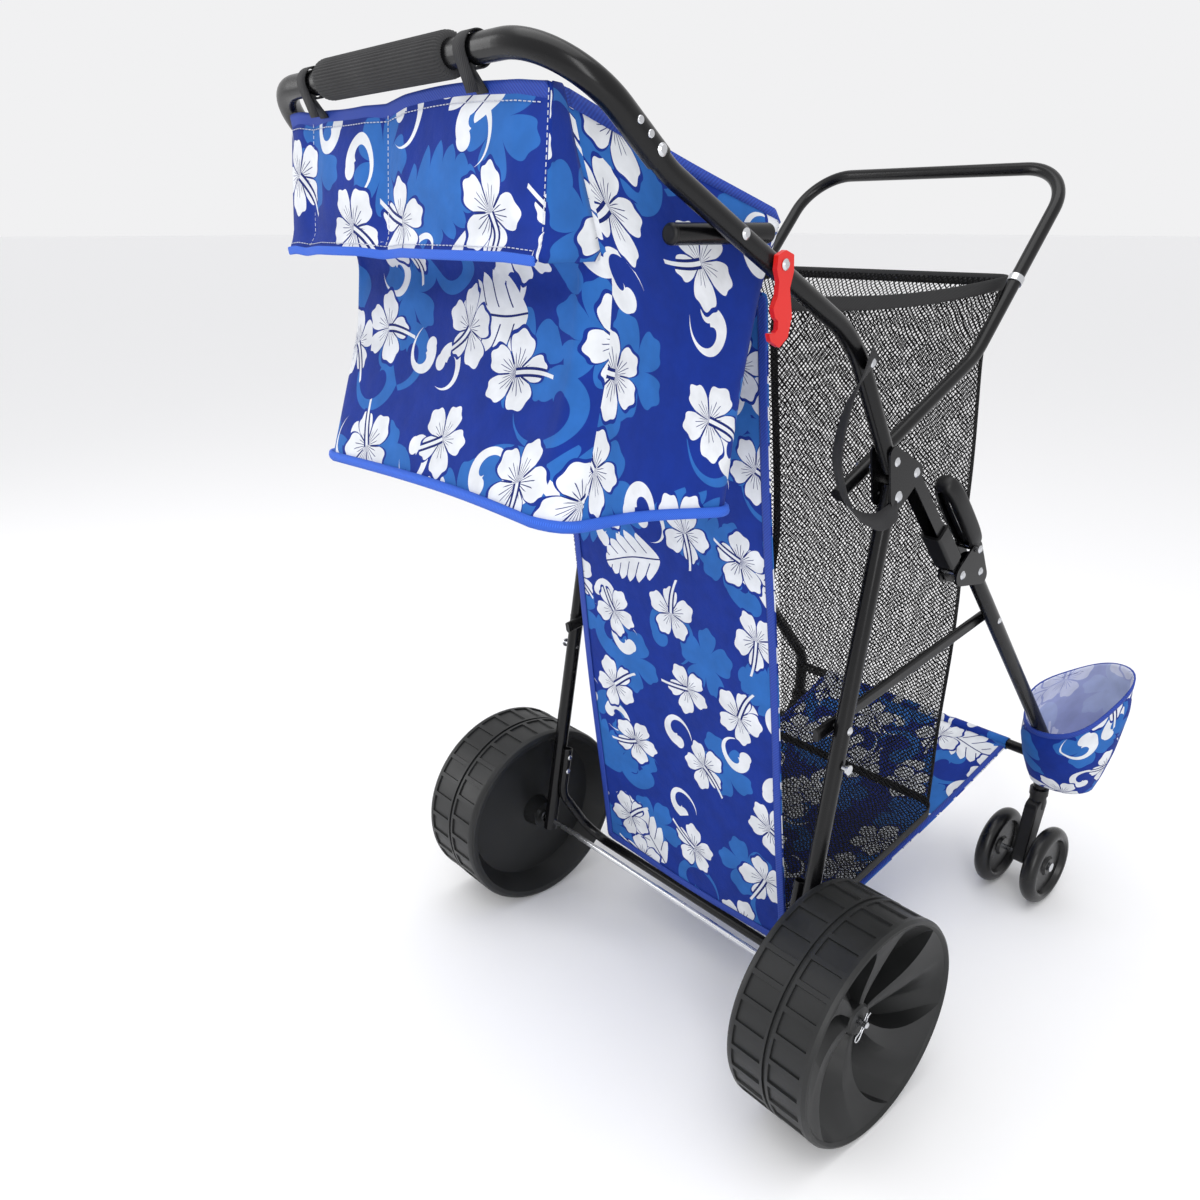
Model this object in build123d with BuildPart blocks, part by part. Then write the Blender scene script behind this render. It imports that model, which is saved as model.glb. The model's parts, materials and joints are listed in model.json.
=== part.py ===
from build123d import *
from math import atan2, cos, degrees, hypot, pi, radians, sin
import os

# Folding beach cart. X is across the cart (right-hand side positive), Y points forward, Z up.
# The origin is on the ground, midway between the two rear wheels and under their axle.
# All sizes are in millimetres.

# ---- frame ----
side_x = 237.0             # centre plane of the side frames
leg_r = 10.0               # rear and front leg tubes
leg_wall = 1.2
plate_t = 2.5              # pressed steel plates
plate_gap = 0.3            # plate to tube
fit = 0.05                 # radial running clearance of pins
clearance = 0.3            # seated pieces that aren't a fit

# ---- rear wheels ----
wheel_r = 140.0
wheel_w = 113.0
wheel_inner_x = 250.5
tread_depth = 2.5
tread_pads = 28
tread_rim = 16.0           # rim thickness at the tread
hub_r = 24.0
hub_recess = 32.0          # hub face behind the outer rim
blade_t = 6.0
blade_count = 6
axle_r = 4.0
axle_z = wheel_r

# ---- side frame geometry, as (Y, Z) ----
leg_top = (101.0, 728.0)   # pivot of the push frame on the rear leg
strut_top = (132.0, 750.0)
knee = (258.0, 604.0)
link_front = (373.0, 515.0)
link_rear_z = 461.0
front_leg_slope = 49.3     # degrees below horizontal
front_stem_y = 603.0
front_leg_above_link = 136.0
front_socket_z = 172.0
front_bend_r = 60.0

# ---- push frame ----
push_r = 9.5
push_offset = 13.0         # tube axis ahead of the pivot
push_low_angle = 121.3     # degrees from +Y towards +Z
push_start = 26.0
push_bend = (14.0, 900.0)
push_knee = (-244.0, 1041.6)
push_bend_r = 150.0
push_knee_r = 90.0
handle_bar = (-348.0, 1127.3)
handle_r = 11.0
handle_wall = 1.4
handle_bend_r = 70.0
handle_leg = 120.0
handle_overlap = 42.0
button_r = 3.2
grip_r = 17.0
grip_len = 205.0
arm_y = -161.0
arm_r = 9.0
arm_len = 116.0
hook_y = -115.0
hook_reach = 50.0
hook_t = 5.0

# ---- hoop ----
hoop_x = 199.5
hoop_r = 8.0
hoop_pivot = (110.0, 752.0)
hoop_low = (64.0, 728.6)
hoop_bend = (312.0, 855.0)
hoop_bar = (500.0, 1070.0)
hoop_bend_r = 90.0
hoop_corner_r = 65.0

# ---- links and struts ----
link_w = 8.0
link_h = 16.0
link_tail = 27.0
link_nose = 15.0
strut_w = 19.0
strut_h = 16.0
strut_wall = 1.5
sleeve_len = 58.0
lever_len = 124.0
lever_offset = 39.5
lever_ear_t = 3.0
lever_slot_r = 24.0

# ---- lower panel frame ----
panel_tube_r = 7.0
panel_bar = (66.0, 98.0)
panel_top_z = 262.0
panel_foot_z = 190.0
panel_bend_r = 40.0
cross_r = 8.0
cross_z = 225.0

# ---- casters ----
caster_r = 62.0
caster_w = 25.0
caster_spread = 38.0
caster_trail = 27.0
caster_axle_r = 4.0
fork_w = 21.0
stem_r = 5.0
collar_r = 14.0

# ---- cloth ----
cloth_t = 2.0
bag_x = 187.0              # half width of the storage bag
bag_side = [(-332.0, 1092.0), (-48.0, 1012.0), (-105.0, 742.0), (-335.0, 762.0)]
bag_wall = 3.0
pocket_drop = 125.0
mesh_x = 185.0
mesh_side = [(-36.0, 936.0), (362.0, 940.0), (386.0, 915.0), (386.0, 188.0), (66.0, 116.0)]
panel_half = 176.0          # half width of the floor panel
back_half = 184.5           # half width of the back panel
strap_w = 22.0
loop_x = 116.0
loop_w = 28.0
strap_t = 1.6
boot_centre = (262.0, 616.0)
boot_low_r = 50.0
boot_top_r = 72.0
boot_bottom_z = 190.0
boot_top_z = 345.0
boot_tilt = 28.0

os.makedirs("parts", exist_ok=True)


# ---------------- helpers ----------------
def save(builder, name):
    """Label a finished piece and write it as one STEP file."""
    builder.part.label = name
    export_step(builder.part, f"parts/{name}.step")
    return builder


def mirrored(builder):
    """The same piece on the other side of the cart."""
    with BuildPart() as copy:
        mirror(builder.part, about=Plane.YZ)
    return copy


def both_sides(builder):
    """The piece and its mirror image, as one group."""
    with BuildPart() as pair:
        add(builder.part)
        mirror(builder.part, about=Plane.YZ)
    return pair


def along(point, angle, distance):
    """The (Y, Z) point at a distance from a point, along an angle from +Y."""
    return (point[0] + distance * cos(radians(angle)), point[1] + distance * sin(radians(angle)))


def heading(start, end):
    """Angle from +Y of the line between two (Y, Z) points, in degrees."""
    return degrees(atan2(end[1] - start[1], end[0] - start[0]))


def between(start, end, z):
    """The point at height z on the line between two (Y, Z) points."""
    share = (z - start[1]) / (end[1] - start[1])
    return (start[0] + share * (end[0] - start[0]), z)


def at_y(start, end, y):
    """The point at depth y on the line between two (Y, Z) points."""
    share = (y - start[0]) / (end[0] - start[0])
    return (y, start[1] + share * (end[1] - start[1]))


def tube(points, outer, wall, bend_radii=None):
    """A round tube along straight runs and tangent bends; wall 0 makes a solid rod."""
    with BuildPart() as piece:
        with BuildLine() as route:
            if bend_radii is None:
                Line(points[0], points[1])
            else:
                FilletPolyline(*points, radius=bend_radii)
        path = route.wires()[0]
        with BuildSketch(Plane(origin=path @ 0, z_dir=path % 0)):
            Circle(outer)
            if wall > 0:
                Circle(outer - wall, mode=Mode.SUBTRACT)
        sweep(path=path)
    return piece


def drill(points, radius, x=side_x, depth=60.0):
    """Cross holes along X through the piece being built."""
    for y, z in points:
        with Locations(Location((x, y, z), (0, 90, 0))):
            Cylinder(radius, depth, mode=Mode.SUBTRACT)


def rivets(points, radius, x_low, x_high, head_r, head_h, inner_head=True):
    """Rivets along X: a shank, a domed outer head and, if asked, an inner one."""
    with BuildPart() as group:
        for y, z in points:
            with Locations(Location(((x_low + x_high) / 2, y, z), (0, 90, 0))):
                Cylinder(radius, x_high - x_low)
            with Locations(Location((x_high + head_h / 2, y, z), (0, 90, 0))):
                Cone(head_r, head_r * 0.6, head_h)
            if inner_head:
                with Locations(Location((x_low - head_h / 2, y, z), (0, -90, 0))):
                    Cone(head_r, head_r * 0.6, head_h)
    return group


def side_plate(circles, x_low, thickness, holes):
    """A flat plate across X whose outline is the hull of circles given as (Y, Z, radius)."""
    with BuildPart() as plate:
        with BuildSketch(Plane.YZ.offset(x_low)):
            for y, z, radius in circles:
                with Locations((y, z)):
                    Circle(radius)
            make_hull()
            for y, z, radius in holes:
                with Locations((y, z)):
                    Circle(radius, mode=Mode.SUBTRACT)
        extrude(amount=thickness)
    return plate


def plate_pair(circles, holes):
    """Two plates, one on each side of the side frame's tubes."""
    inner = side_plate(circles, side_x - leg_r - plate_gap - plate_t, plate_t, holes)
    outer = side_plate(circles, side_x + leg_r + plate_gap, plate_t, holes)
    with BuildPart() as pair:
        add(inner.part)
        add(outer.part)
    return pair


plate_out = side_x + leg_r + plate_gap + plate_t
link_x = side_x - leg_r - 0.8 - link_w / 2
strap_x = plate_out + 0.5
plate_in = side_x - leg_r - plate_gap - plate_t

# ---------------- derived places ----------------
axle_point = (0.0, axle_z)
leg_angle = heading(axle_point, leg_top)
link_rear = between(axle_point, leg_top, link_rear_z)
stud_point = between(axle_point, leg_top, 417.0)
front_leg_angle = -front_leg_slope
front_leg_top = along(link_front, 180 + front_leg_angle, front_leg_above_link)
front_corner = at_y(front_leg_top, link_front, front_stem_y)
push_foot = along(leg_top, push_low_angle - 90, push_offset)
push_end = along(push_foot, push_low_angle, push_start)
handle_angle = heading(handle_bar, push_knee)
arm_pivot = at_y(push_knee, push_bend, arm_y)
hook_pivot = at_y(push_knee, push_bend, hook_y)
strap_top = along(push_bend, push_low_angle + 180, 28.0)
strut_angle = heading(strut_top, knee)
lever_pivot = along(along(knee, strut_angle, -3.0), strut_angle + 90, lever_offset)
front_rivet = along(front_leg_top, front_leg_angle, 24.0)
caster_axle = (front_stem_y - caster_trail, caster_r)
bracket_rivet = along(push_end, push_low_angle, 12.0)


# ---------------- rear frame ----------------
def rear_leg():
    low = along(axle_point, leg_angle, -14.0)
    high = along(leg_top, leg_angle, 11.0)
    piece = tube([(side_x, *low), (side_x, *high)], leg_r, leg_wall)
    with piece:
        drill([axle_point], axle_r + fit)
        drill([leg_top], 3.5 + fit)
        drill([link_rear], 3.0 + fit)
        drill([stud_point], 3.0 + fit)
        drill(panel_rivet_points(), 2.0 + fit)
    return piece


def panel_rivet_points():
    return [between(axle_point, leg_top, z) for z in (panel_top_z - 12, panel_top_z - 34)]


def panel_frame():
    """U tube whose ends lie inside the rear legs and whose bar holds the cloth's lower edge."""
    x = side_x - leg_r - clearance - panel_tube_r
    top = between(axle_point, leg_top, panel_top_z)
    foot = between(axle_point, leg_top, panel_foot_z)
    left = [(-x, *top), (-x, *foot), (-x, *panel_bar)]
    right = [(x, *panel_bar), (x, *foot), (x, *top)]
    piece = tube(left + right, panel_tube_r, 1.0, panel_bend_r)
    with piece:
        for side in (-1, 1):
            drill(panel_rivet_points(), 2.0 + fit, x=side * x, depth=30)
    return piece


right_leg = save(rear_leg(), "rear_leg_right")
save(mirrored(right_leg), "rear_leg_left")

axle_end = wheel_inner_x + wheel_w - hub_recess + 12
with BuildPart() as axle:
    with Locations(Location((0, *axle_point), (0, 90, 0))):
        Cylinder(axle_r, 2 * axle_end)
    chamfer(axle.edges().filter_by(GeomType.CIRCLE), 0.8)
    with Locations((axle_end - 6, *axle_point), (6 - axle_end, *axle_point)):
        Cylinder(1.6, 3 * axle_r, mode=Mode.SUBTRACT)
save(axle, "axle_rod")

with BuildPart() as spacers:
    gap = wheel_inner_x - side_x - leg_r
    for side in (-1, 1):
        with Locations(Location((side * (wheel_inner_x - gap / 2), *axle_point), (0, 90, 0))):
            Cylinder(9.0, gap - 0.2)
            Cylinder(axle_r + fit, gap, mode=Mode.SUBTRACT)
save(spacers, "axle_spacers")


def wheel_clip():
    """Hairpin clip: one straight leg through the axle, one bowed leg beside it."""
    x = axle_end - 6
    points = [(x, 0, axle_z - 20), (x, 0, axle_z + 14), (x + 5, 6, axle_z + 20),
              (x + 8, 9, axle_z + 8), (x + 3, 7.5, axle_z - 2), (x + 6, 11, axle_z - 20)]
    return tube(points, 1.5, 0, 3.0)


save(both_sides(wheel_clip()), "wheel_clips")
save(panel_frame(), "panel_frame_tube")
with BuildPart() as frame_rivets:
    panel_in = side_x - leg_r - clearance - 2 * panel_tube_r
    for pin in (rivets(panel_rivet_points(), 2.0, panel_in, side_x + leg_r, 4.0, 1.2),
                rivets([link_rear], 3.0, link_x - link_w / 2, side_x + leg_r, 5.0, 1.6)):
        add(pin.part)
        mirror(pin.part, about=Plane.YZ)
save(frame_rivets, "frame_rivets")


def catch_stud():
    """Mushroom stud that the fold hook drops over."""
    with BuildPart() as stud:
        with Locations(Location((side_x, *stud_point), (0, 90, 0))):
            with BuildSketch(Plane(origin=(side_x - leg_r + 2, *stud_point), z_dir=(1, 0, 0))):
                Circle(3.0)
        extrude(amount=2 * leg_r + 5)
        with BuildSketch(Plane(origin=(side_x + leg_r + 6.6, *stud_point), z_dir=(1, 0, 0))):
            Circle(6.0)
        extrude(amount=2.4)
    return stud


save(both_sides(catch_stud()), "catch_studs")


# ---------------- rear wheels ----------------
def rear_wheel():
    """Moulded wheel: ribbed tread, dished web, six swept blades and a recessed hub."""
    x0, x1 = wheel_inner_x, wheel_inner_x + wheel_w
    hub_face = x1 - hub_recess
    rim_r = wheel_r - tread_rim
    axis = Axis((0, 0, axle_z), (1, 0, 0))
    with BuildPart() as wheel:
        with BuildSketch(Plane.XY.offset(axle_z)):
            with BuildLine():
                Polyline((x0 + 3, 0), (x0 + 3, hub_r - 4), (x0 + 26, hub_r), (x0 + 34, rim_r - 14),
                         (x0 + 6, rim_r), (x0, rim_r + 3), (x0, wheel_r - 7), (x0 + 7, wheel_r),
                         (x1 - 7, wheel_r), (x1, wheel_r - 7), (x1, rim_r + 3), (x1 - 5, rim_r),
                         (x0 + 44, rim_r - 12), (x0 + 36, hub_r), (hub_face, hub_r - 3),
                         (hub_face, 0), (x0 + 3, 0))
            make_face()
        revolve(axis=axis)
        for turn in range(blade_count):
            angle = radians(360 / blade_count * turn)
            blade_plane = Plane(origin=(x0 + 38, 0, axle_z), x_dir=(0, cos(angle), sin(angle)),
                                z_dir=(1, 0, 0))
            with BuildSketch(blade_plane):
                with BuildLine():
                    ThreePointArc((hub_r - 4, 0), (0.62 * rim_r, 0.16 * rim_r), (rim_r + 2, -6))
                    Line((rim_r + 2, -6), (rim_r + 2, -6 - blade_t))
                    ThreePointArc((rim_r + 2, -6 - blade_t),
                                  (0.62 * rim_r, 0.16 * rim_r - blade_t), (hub_r - 4, -blade_t))
                    Line((hub_r - 4, -blade_t), (hub_r - 4, 0))
                make_face()
            extrude(amount=hub_face - x0 - 38)
        groove = wheel_w / 2
        with BuildSketch(Plane.XY.offset(axle_z)):
            with Locations((x0 + groove, wheel_r)):
                Rectangle(5, 2 * tread_depth)
        revolve(axis=axis, mode=Mode.SUBTRACT)
        pad = 2 * pi * wheel_r / tread_pads
        for row, shift in ((0.26, 0.0), (0.74, 0.5)):
            for index in range(tread_pads):
                angle = 360 / tread_pads * (index + shift)
                plane = Plane(origin=(x0 + row * wheel_w, 0, axle_z), x_dir=(1, 0, 0),
                              z_dir=(0, cos(radians(angle)), sin(radians(angle))))
                with BuildSketch(plane.offset(wheel_r - tread_depth)):
                    Rectangle(0.36 * wheel_w, pad * 0.34)
                extrude(amount=3 * tread_depth, mode=Mode.SUBTRACT)
        with Locations(Location((x0 + wheel_w / 2, 0, axle_z), (0, 90, 0))):
            Cylinder(axle_r + fit, 2 * wheel_w, mode=Mode.SUBTRACT)
    return wheel


right_wheel = save(rear_wheel(), "rear_wheel_right")
save(mirrored(right_wheel), "rear_wheel_left")


# ---------------- push frame ----------------
def side_tube():
    top = along(handle_bar, handle_angle, handle_leg - handle_overlap)
    points = [(side_x, *top), (side_x, *push_knee), (side_x, *push_bend), (side_x, *push_end)]
    piece = tube(points, push_r, leg_wall, [push_knee_r, push_bend_r])
    with piece:
        drill([bracket_rivet, arm_pivot, hook_pivot, strap_top, handle_rivet_point()], 2.5 + fit)
        drill(button_points(), button_r + fit, x=side_x + handle_r, depth=10)
    return piece


def button_points():
    return [along(handle_bar, handle_angle, handle_leg - back) for back in (38, 24)]


def handle_rivet_point():
    return along(handle_bar, handle_angle, handle_leg - 8)


def handle():
    end = along(handle_bar, handle_angle, handle_leg)
    points = [(-side_x, *end), (-side_x, *handle_bar), (side_x, *handle_bar), (side_x, *end)]
    piece = tube(points, handle_r, handle_wall, handle_bend_r)
    with piece:
        for side in (-1, 1):
            drill([handle_rivet_point()], 2.5 + fit, x=side * side_x)
            drill(button_points(), button_r + fit, x=side * (side_x + handle_r), depth=10)
    return piece


save(handle(), "handle_tube")

with BuildPart() as grip:
    with Locations(Location((0, *handle_bar), (0, 90, 0))):
        Cylinder(grip_r, grip_len)
        Cylinder(handle_r + 0.1, grip_len, mode=Mode.SUBTRACT)
    fillet(grip.edges().filter_by(GeomType.CIRCLE).group_by(SortBy.RADIUS)[-1], 2.5)
save(grip, "foam_grip")

right_tube = save(side_tube(), "side_tube_right")
save(mirrored(right_tube), "side_tube_left")

bracket_circles = [(*leg_top, 14.0), (*strut_top, 11.0), (*hoop_pivot, 9.0),
                   (*along(push_end, push_low_angle, 22.0), 9.0)]
bracket_holes = [(*leg_top, 3.5 + fit), (*strut_top, 3.0 + fit), (*bracket_rivet, 2.5 + fit)]
bracket = save(plate_pair(bracket_circles, bracket_holes), "pivot_bracket_right")
save(mirrored(bracket), "pivot_bracket_left")

with BuildPart() as pivot_rivets:
    for pin in (rivets([leg_top], 3.5, plate_in, plate_out, 6.5, 2.0),
                rivets([strut_top], 3.0, plate_in, plate_out, 5.5, 1.8)):
        add(pin.part)
        mirror(pin.part, about=Plane.YZ)
save(pivot_rivets, "pivot_rivets")


def snap_buttons():
    """Spring buttons that lock the handle on the side tube."""
    with BuildPart() as buttons:
        for y, z in button_points():
            with Locations(Location((side_x + handle_r - 0.5, y, z), (0, 90, 0))):
                Cylinder(button_r, 3.6)
        fillet(buttons.edges().filter_by(GeomType.CIRCLE).group_by(Axis.X)[-1], 1.2)
    return buttons


save(both_sides(snap_buttons()), "snap_buttons")

with BuildPart() as push_rivets:
    for pair in (
        rivets([handle_rivet_point()], 2.5, side_x - handle_r, side_x + handle_r, 5.0, 1.6),
        rivets([strap_top], 2.5, side_x - push_r, strap_x + strap_t, 5.0, 1.6),
        rivets([bracket_rivet], 2.5, plate_in, plate_out, 5.0, 1.4, inner_head=False),
        rivets([arm_pivot], 2.5, side_x - push_r - 1.0 - 2 * arm_r, side_x + push_r, 5.0, 1.6),
    ):
        add(pair.part)
        mirror(pair.part, about=Plane.YZ)
    hook_pin = rivets([hook_pivot], 2.5, side_x - push_r, side_x + push_r + 1.4 + hook_t, 5.0, 1.6,
                      inner_head=False)
    add(hook_pin.part)
save(push_rivets, "handle_rivets")


def rest_arm():
    """Tube on the inside of the side tube that the storage bag's side rests on."""
    x = side_x - push_r - 0.8 - arm_r
    rear = (x, arm_pivot[0] - arm_len / 2, arm_pivot[1])
    front = (x, arm_pivot[0] + arm_len / 2, arm_pivot[1])
    piece = tube([rear, front], arm_r, leg_wall)
    with piece:
        drill([arm_pivot], 2.5 + fit, x=x, depth=30)
    return piece


def arm_plugs():
    x = side_x - push_r - 0.8 - arm_r
    with BuildPart() as plugs:
        for side in (-1, 1):
            y = arm_pivot[0] + side * arm_len / 2
            plane = Plane(origin=(x, y, arm_pivot[1]), z_dir=(0, side, 0))
            with BuildSketch(plane.offset(-12)):
                Circle(arm_r - leg_wall - 0.05)
            extrude(amount=12.1)
            with BuildSketch(plane.offset(0.1)):
                Circle(arm_r)
            extrude(amount=5)
        fillet(plugs.edges().filter_by(GeomType.CIRCLE).group_by(Axis.Y)[0], 3.5)
        fillet(plugs.edges().filter_by(GeomType.CIRCLE).group_by(Axis.Y)[-1], 3.5)
    return plugs


right_arm = save(rest_arm(), "rest_arm_right")
save(mirrored(right_arm), "rest_arm_left")
right_plugs = save(arm_plugs(), "arm_plugs_right")
save(mirrored(right_plugs), "arm_plugs_left")


def fold_hook():
    """Red moulded hook that hangs from the right side tube and keeps the cart folded."""
    y, z = hook_pivot
    x = side_x + push_r + 0.7
    with BuildPart() as hook:
        with BuildSketch(Plane.YZ.offset(x)):
            with BuildLine():
                Polyline((y + 11, z + 8), (y + 12, z - 6), (y + 8, z - 20), (y + 13, z - 44),
                         (y + 9, z - 62), (y - 2, z - 70), (y - 14, z - 64), (y - 17, z - 57),
                         (y - 9, z - 57), (y - 5.5, z - 54), (y - 5.5, z - 47), (y - 10, z - 44),
                         (y - 13, z - 36), (y - 8, z - 26), (y - 7, z - 14), (y - 11, z - 4),
                         (y - 10, z + 8), (y, z + 12), (y + 11, z + 8), close=False)
            make_face()
            with Locations((y, z)):
                Circle(2.5 + fit, mode=Mode.SUBTRACT)
        extrude(amount=hook_t)
        fillet(hook.edges().filter_by(Axis.X), 1.2)
    return hook


save(fold_hook(), "fold_hook")


# ---------------- hoop ----------------
def hoop():
    points = [(-hoop_x, *hoop_low), (-hoop_x, *hoop_bend), (-hoop_x, *hoop_bar),
              (hoop_x, *hoop_bar), (hoop_x, *hoop_bend), (hoop_x, *hoop_low)]
    radii = [hoop_bend_r, hoop_corner_r, hoop_corner_r, hoop_bend_r]
    piece = tube(points, hoop_r, 1.2, radii)
    with piece:
        for side in (-1, 1):
            drill([hoop_pivot], 3.0 + fit, x=side * hoop_x, depth=2.6 * hoop_r)
    return piece


hoop_low_angle = heading(hoop_low, hoop_bend)
hoop_high_angle = heading(hoop_bend, hoop_bar)
save(hoop(), "hoop_tube")


def hoop_cap():
    """Plastic plug in the lower end of a hoop leg."""
    inward = (0, cos(radians(hoop_low_angle)), sin(radians(hoop_low_angle)))
    plane = Plane(origin=(hoop_x, *hoop_low), z_dir=inward)
    with BuildPart() as cap:
        with BuildSketch(plane.offset(-4)):
            Circle(hoop_r)
        extrude(amount=3.9)
        with BuildSketch(plane.offset(-0.1)):
            Circle(hoop_r - 1.25)
        extrude(amount=12)
    return cap


def hoop_ring():
    """Crimped ferrule where the hoop's upper part joins its leg."""
    y, z = along(hoop_bend, hoop_high_angle, 108.0)
    direction = (0, cos(radians(hoop_high_angle)), sin(radians(hoop_high_angle)))
    with BuildPart() as ring:
        with BuildSketch(Plane(origin=(hoop_x, y, z), z_dir=direction)):
            Circle(hoop_r + 1.4)
            Circle(hoop_r + 0.1, mode=Mode.SUBTRACT)
        extrude(amount=9)
    return ring


save(both_sides(hoop_cap()), "hoop_caps")
save(both_sides(hoop_ring()), "hoop_rings")


def hoop_rivet():
    """Pivot rivet, with the washer that spaces the hoop from the bracket."""
    y, z = hoop_pivot
    with BuildPart() as rivet:
        with BuildSketch(Plane.YZ.offset(hoop_x - hoop_r)):
            with Locations((y, z)):
                Circle(3.0)
        extrude(amount=plate_in - clearance - hoop_x + hoop_r)
        with BuildSketch(Plane.YZ.offset(hoop_x + hoop_r + clearance)):
            with Locations((y, z)):
                Circle(7.0)
        extrude(amount=plate_in - hoop_x - hoop_r - 2 * clearance)
        with BuildSketch(Plane.YZ.offset(hoop_x - hoop_r - 1.8)):
            with Locations((y, z)):
                Circle(5.0)
        extrude(amount=1.5)
    return rivet


save(both_sides(hoop_rivet()), "hoop_rivets")


# ---------------- struts with the knee latch ----------------
def strut():
    """Pressed channel from the bracket down to the knee."""
    low = along(knee, strut_angle, 9.0)
    high = along(strut_top, strut_angle, -9.0)
    direction = (0, low[0] - high[0], low[1] - high[1])
    plane = Plane(origin=(side_x, *high), x_dir=(1, 0, 0), z_dir=direction)
    length = hypot(low[0] - high[0], low[1] - high[1])
    with BuildPart() as piece:
        with BuildSketch(plane):
            Rectangle(strut_w, strut_h)
            with Locations((0, strut_wall)):
                Rectangle(strut_w - 2 * strut_wall, strut_h, mode=Mode.SUBTRACT)
        extrude(amount=length)
        drill([strut_top, knee], 3.0 + fit)
    return piece


def sleeve():
    """Moulded sleeve that stiffens the lower end of the strut."""
    start = along(knee, strut_angle, -26.0 - sleeve_len)
    direction = (0, cos(radians(strut_angle)), sin(radians(strut_angle)))
    plane = Plane(origin=(side_x, *start), x_dir=(1, 0, 0), z_dir=direction)
    with BuildPart() as piece:
        with BuildSketch(plane):
            RectangleRounded(strut_w + 7, strut_h + 8, 4)
            Rectangle(strut_w + 2 * clearance, strut_h + 2 * clearance, mode=Mode.SUBTRACT)
        extrude(amount=sleeve_len)
    return piece


right_strut = save(strut(), "strut_right")
save(mirrored(right_strut), "strut_left")
right_sleeve = save(sleeve(), "strut_sleeve_right")
save(mirrored(right_sleeve), "strut_sleeve_left")


# ---------------- front frame ----------------
def front_leg():
    foot = (front_stem_y, front_socket_z)
    points = [(side_x, *front_leg_top), (side_x, *front_corner), (side_x, *foot)]
    piece = tube(points, leg_r, leg_wall, front_bend_r)
    with piece:
        drill([front_rivet], 2.5 + fit)
        drill([link_front], 2.5 + fit)
        drill([(front_stem_y, cross_z)], 3.0 + fit)
    return piece


right_front = save(front_leg(), "front_leg_right")
save(mirrored(right_front), "front_leg_left")

cross_end = side_x - leg_r - clearance
save(tube([(-cross_end, front_stem_y, cross_z), (cross_end, front_stem_y, cross_z)], cross_r, 1.2),
     "front_crossbar")

knee_circles = [(*knee, 14.0), (*along(front_leg_top, front_leg_angle, 6.0), 12.0),
                (*lever_pivot, 10.0), (*along(front_leg_top, front_leg_angle, 34.0), 10.0)]
knee_holes = [(*knee, 3.0 + fit), (*lever_pivot, 3.0 + fit), (*front_rivet, 2.5 + fit)]
save(both_sides(plate_pair(knee_circles, knee_holes)), "knee_plates")

lever_out = plate_out + clearance + lever_ear_t
lever_in = plate_in - clearance - lever_ear_t
with BuildPart() as front_rivets:
    for pair in (
        rivets([knee], 3.0, plate_in, plate_out, 5.5, 1.8),
        rivets([lever_pivot], 3.0, lever_in, lever_out, 5.0, 1.6),
        rivets([front_rivet], 2.5, plate_in, plate_out, 5.0, 1.6),
        rivets([link_front], 2.5, side_x - leg_r, side_x + leg_r, 4.5, 1.5, inner_head=False),
        rivets([(front_stem_y, cross_z)], 3.0, side_x - leg_r, side_x + leg_r, 5.0, 1.5,
               inner_head=False),
    ):
        add(pair.part)
        mirror(pair.part, about=Plane.YZ)
save(front_rivets, "knee_rivets")


def latch_lever():
    """Moulded lever that lifts off the strut to free the knee."""
    up = strut_angle + 180
    tip = along(lever_pivot, up, lever_len)
    lip = along(along(lever_pivot, up, lever_len - 12), strut_angle + 90, 9.0)
    heel = along(lever_pivot, strut_angle + 90, 6.0)
    with BuildPart() as lever:
        with BuildSketch(Plane.YZ.offset(lever_in)):
            for point, radius in ((lever_pivot, 9.0), (tip, 4.0), (heel, 6.0)):
                with Locations(point):
                    Circle(radius)
            make_hull()
        extrude(amount=lever_out - lever_in)
        with BuildSketch(Plane.YZ.offset(lever_in)):
            for point, radius in ((tip, 4.0), (lip, 3.0)):
                with Locations(point):
                    Circle(radius)
            make_hull()
        extrude(amount=lever_out - lever_in)
        with BuildSketch(Plane.YZ.offset(plate_in - clearance)):
            with Locations(lever_pivot):
                Circle(lever_slot_r)
        extrude(amount=plate_out - plate_in + 2 * clearance, mode=Mode.SUBTRACT)
        trough_start = along(along(lever_pivot, up, 34.0), strut_angle + 90, 2.0)
        plane = Plane(origin=(side_x, *trough_start), x_dir=(1, 0, 0),
                      z_dir=(0, -sin(radians(strut_angle)), cos(radians(strut_angle))))
        with BuildSketch(plane):
            with Locations((0, 34)):
                RectangleRounded(lever_out - lever_in - 13, 66, 5)
        extrude(amount=20, mode=Mode.SUBTRACT)
        drill([lever_pivot], 3.0 + fit)
    return lever


right_lever = save(latch_lever(), "latch_lever_right")
save(mirrored(right_lever), "latch_lever_left")


# ---------------- side links ----------------
link_angle = heading(link_rear, link_front)


def side_link():
    """Flattened tube that ties the front leg to the rear leg."""
    rear = along(link_rear, link_angle, -link_tail)
    front = along(link_front, link_angle, link_nose)
    direction = (0, front[0] - rear[0], front[1] - rear[1])
    plane = Plane(origin=(link_x, *rear), x_dir=(1, 0, 0), z_dir=direction)
    with BuildPart() as link:
        with BuildSketch(plane):
            RectangleRounded(link_w, link_h, link_w / 2 - 0.1)
            RectangleRounded(link_w - 2, link_h - 2, link_w / 2 - 1.1, mode=Mode.SUBTRACT)
        extrude(amount=hypot(front[0] - rear[0], front[1] - rear[1]))
        drill([link_rear], 3.0 + fit, x=link_x, depth=20)
    return link


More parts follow.
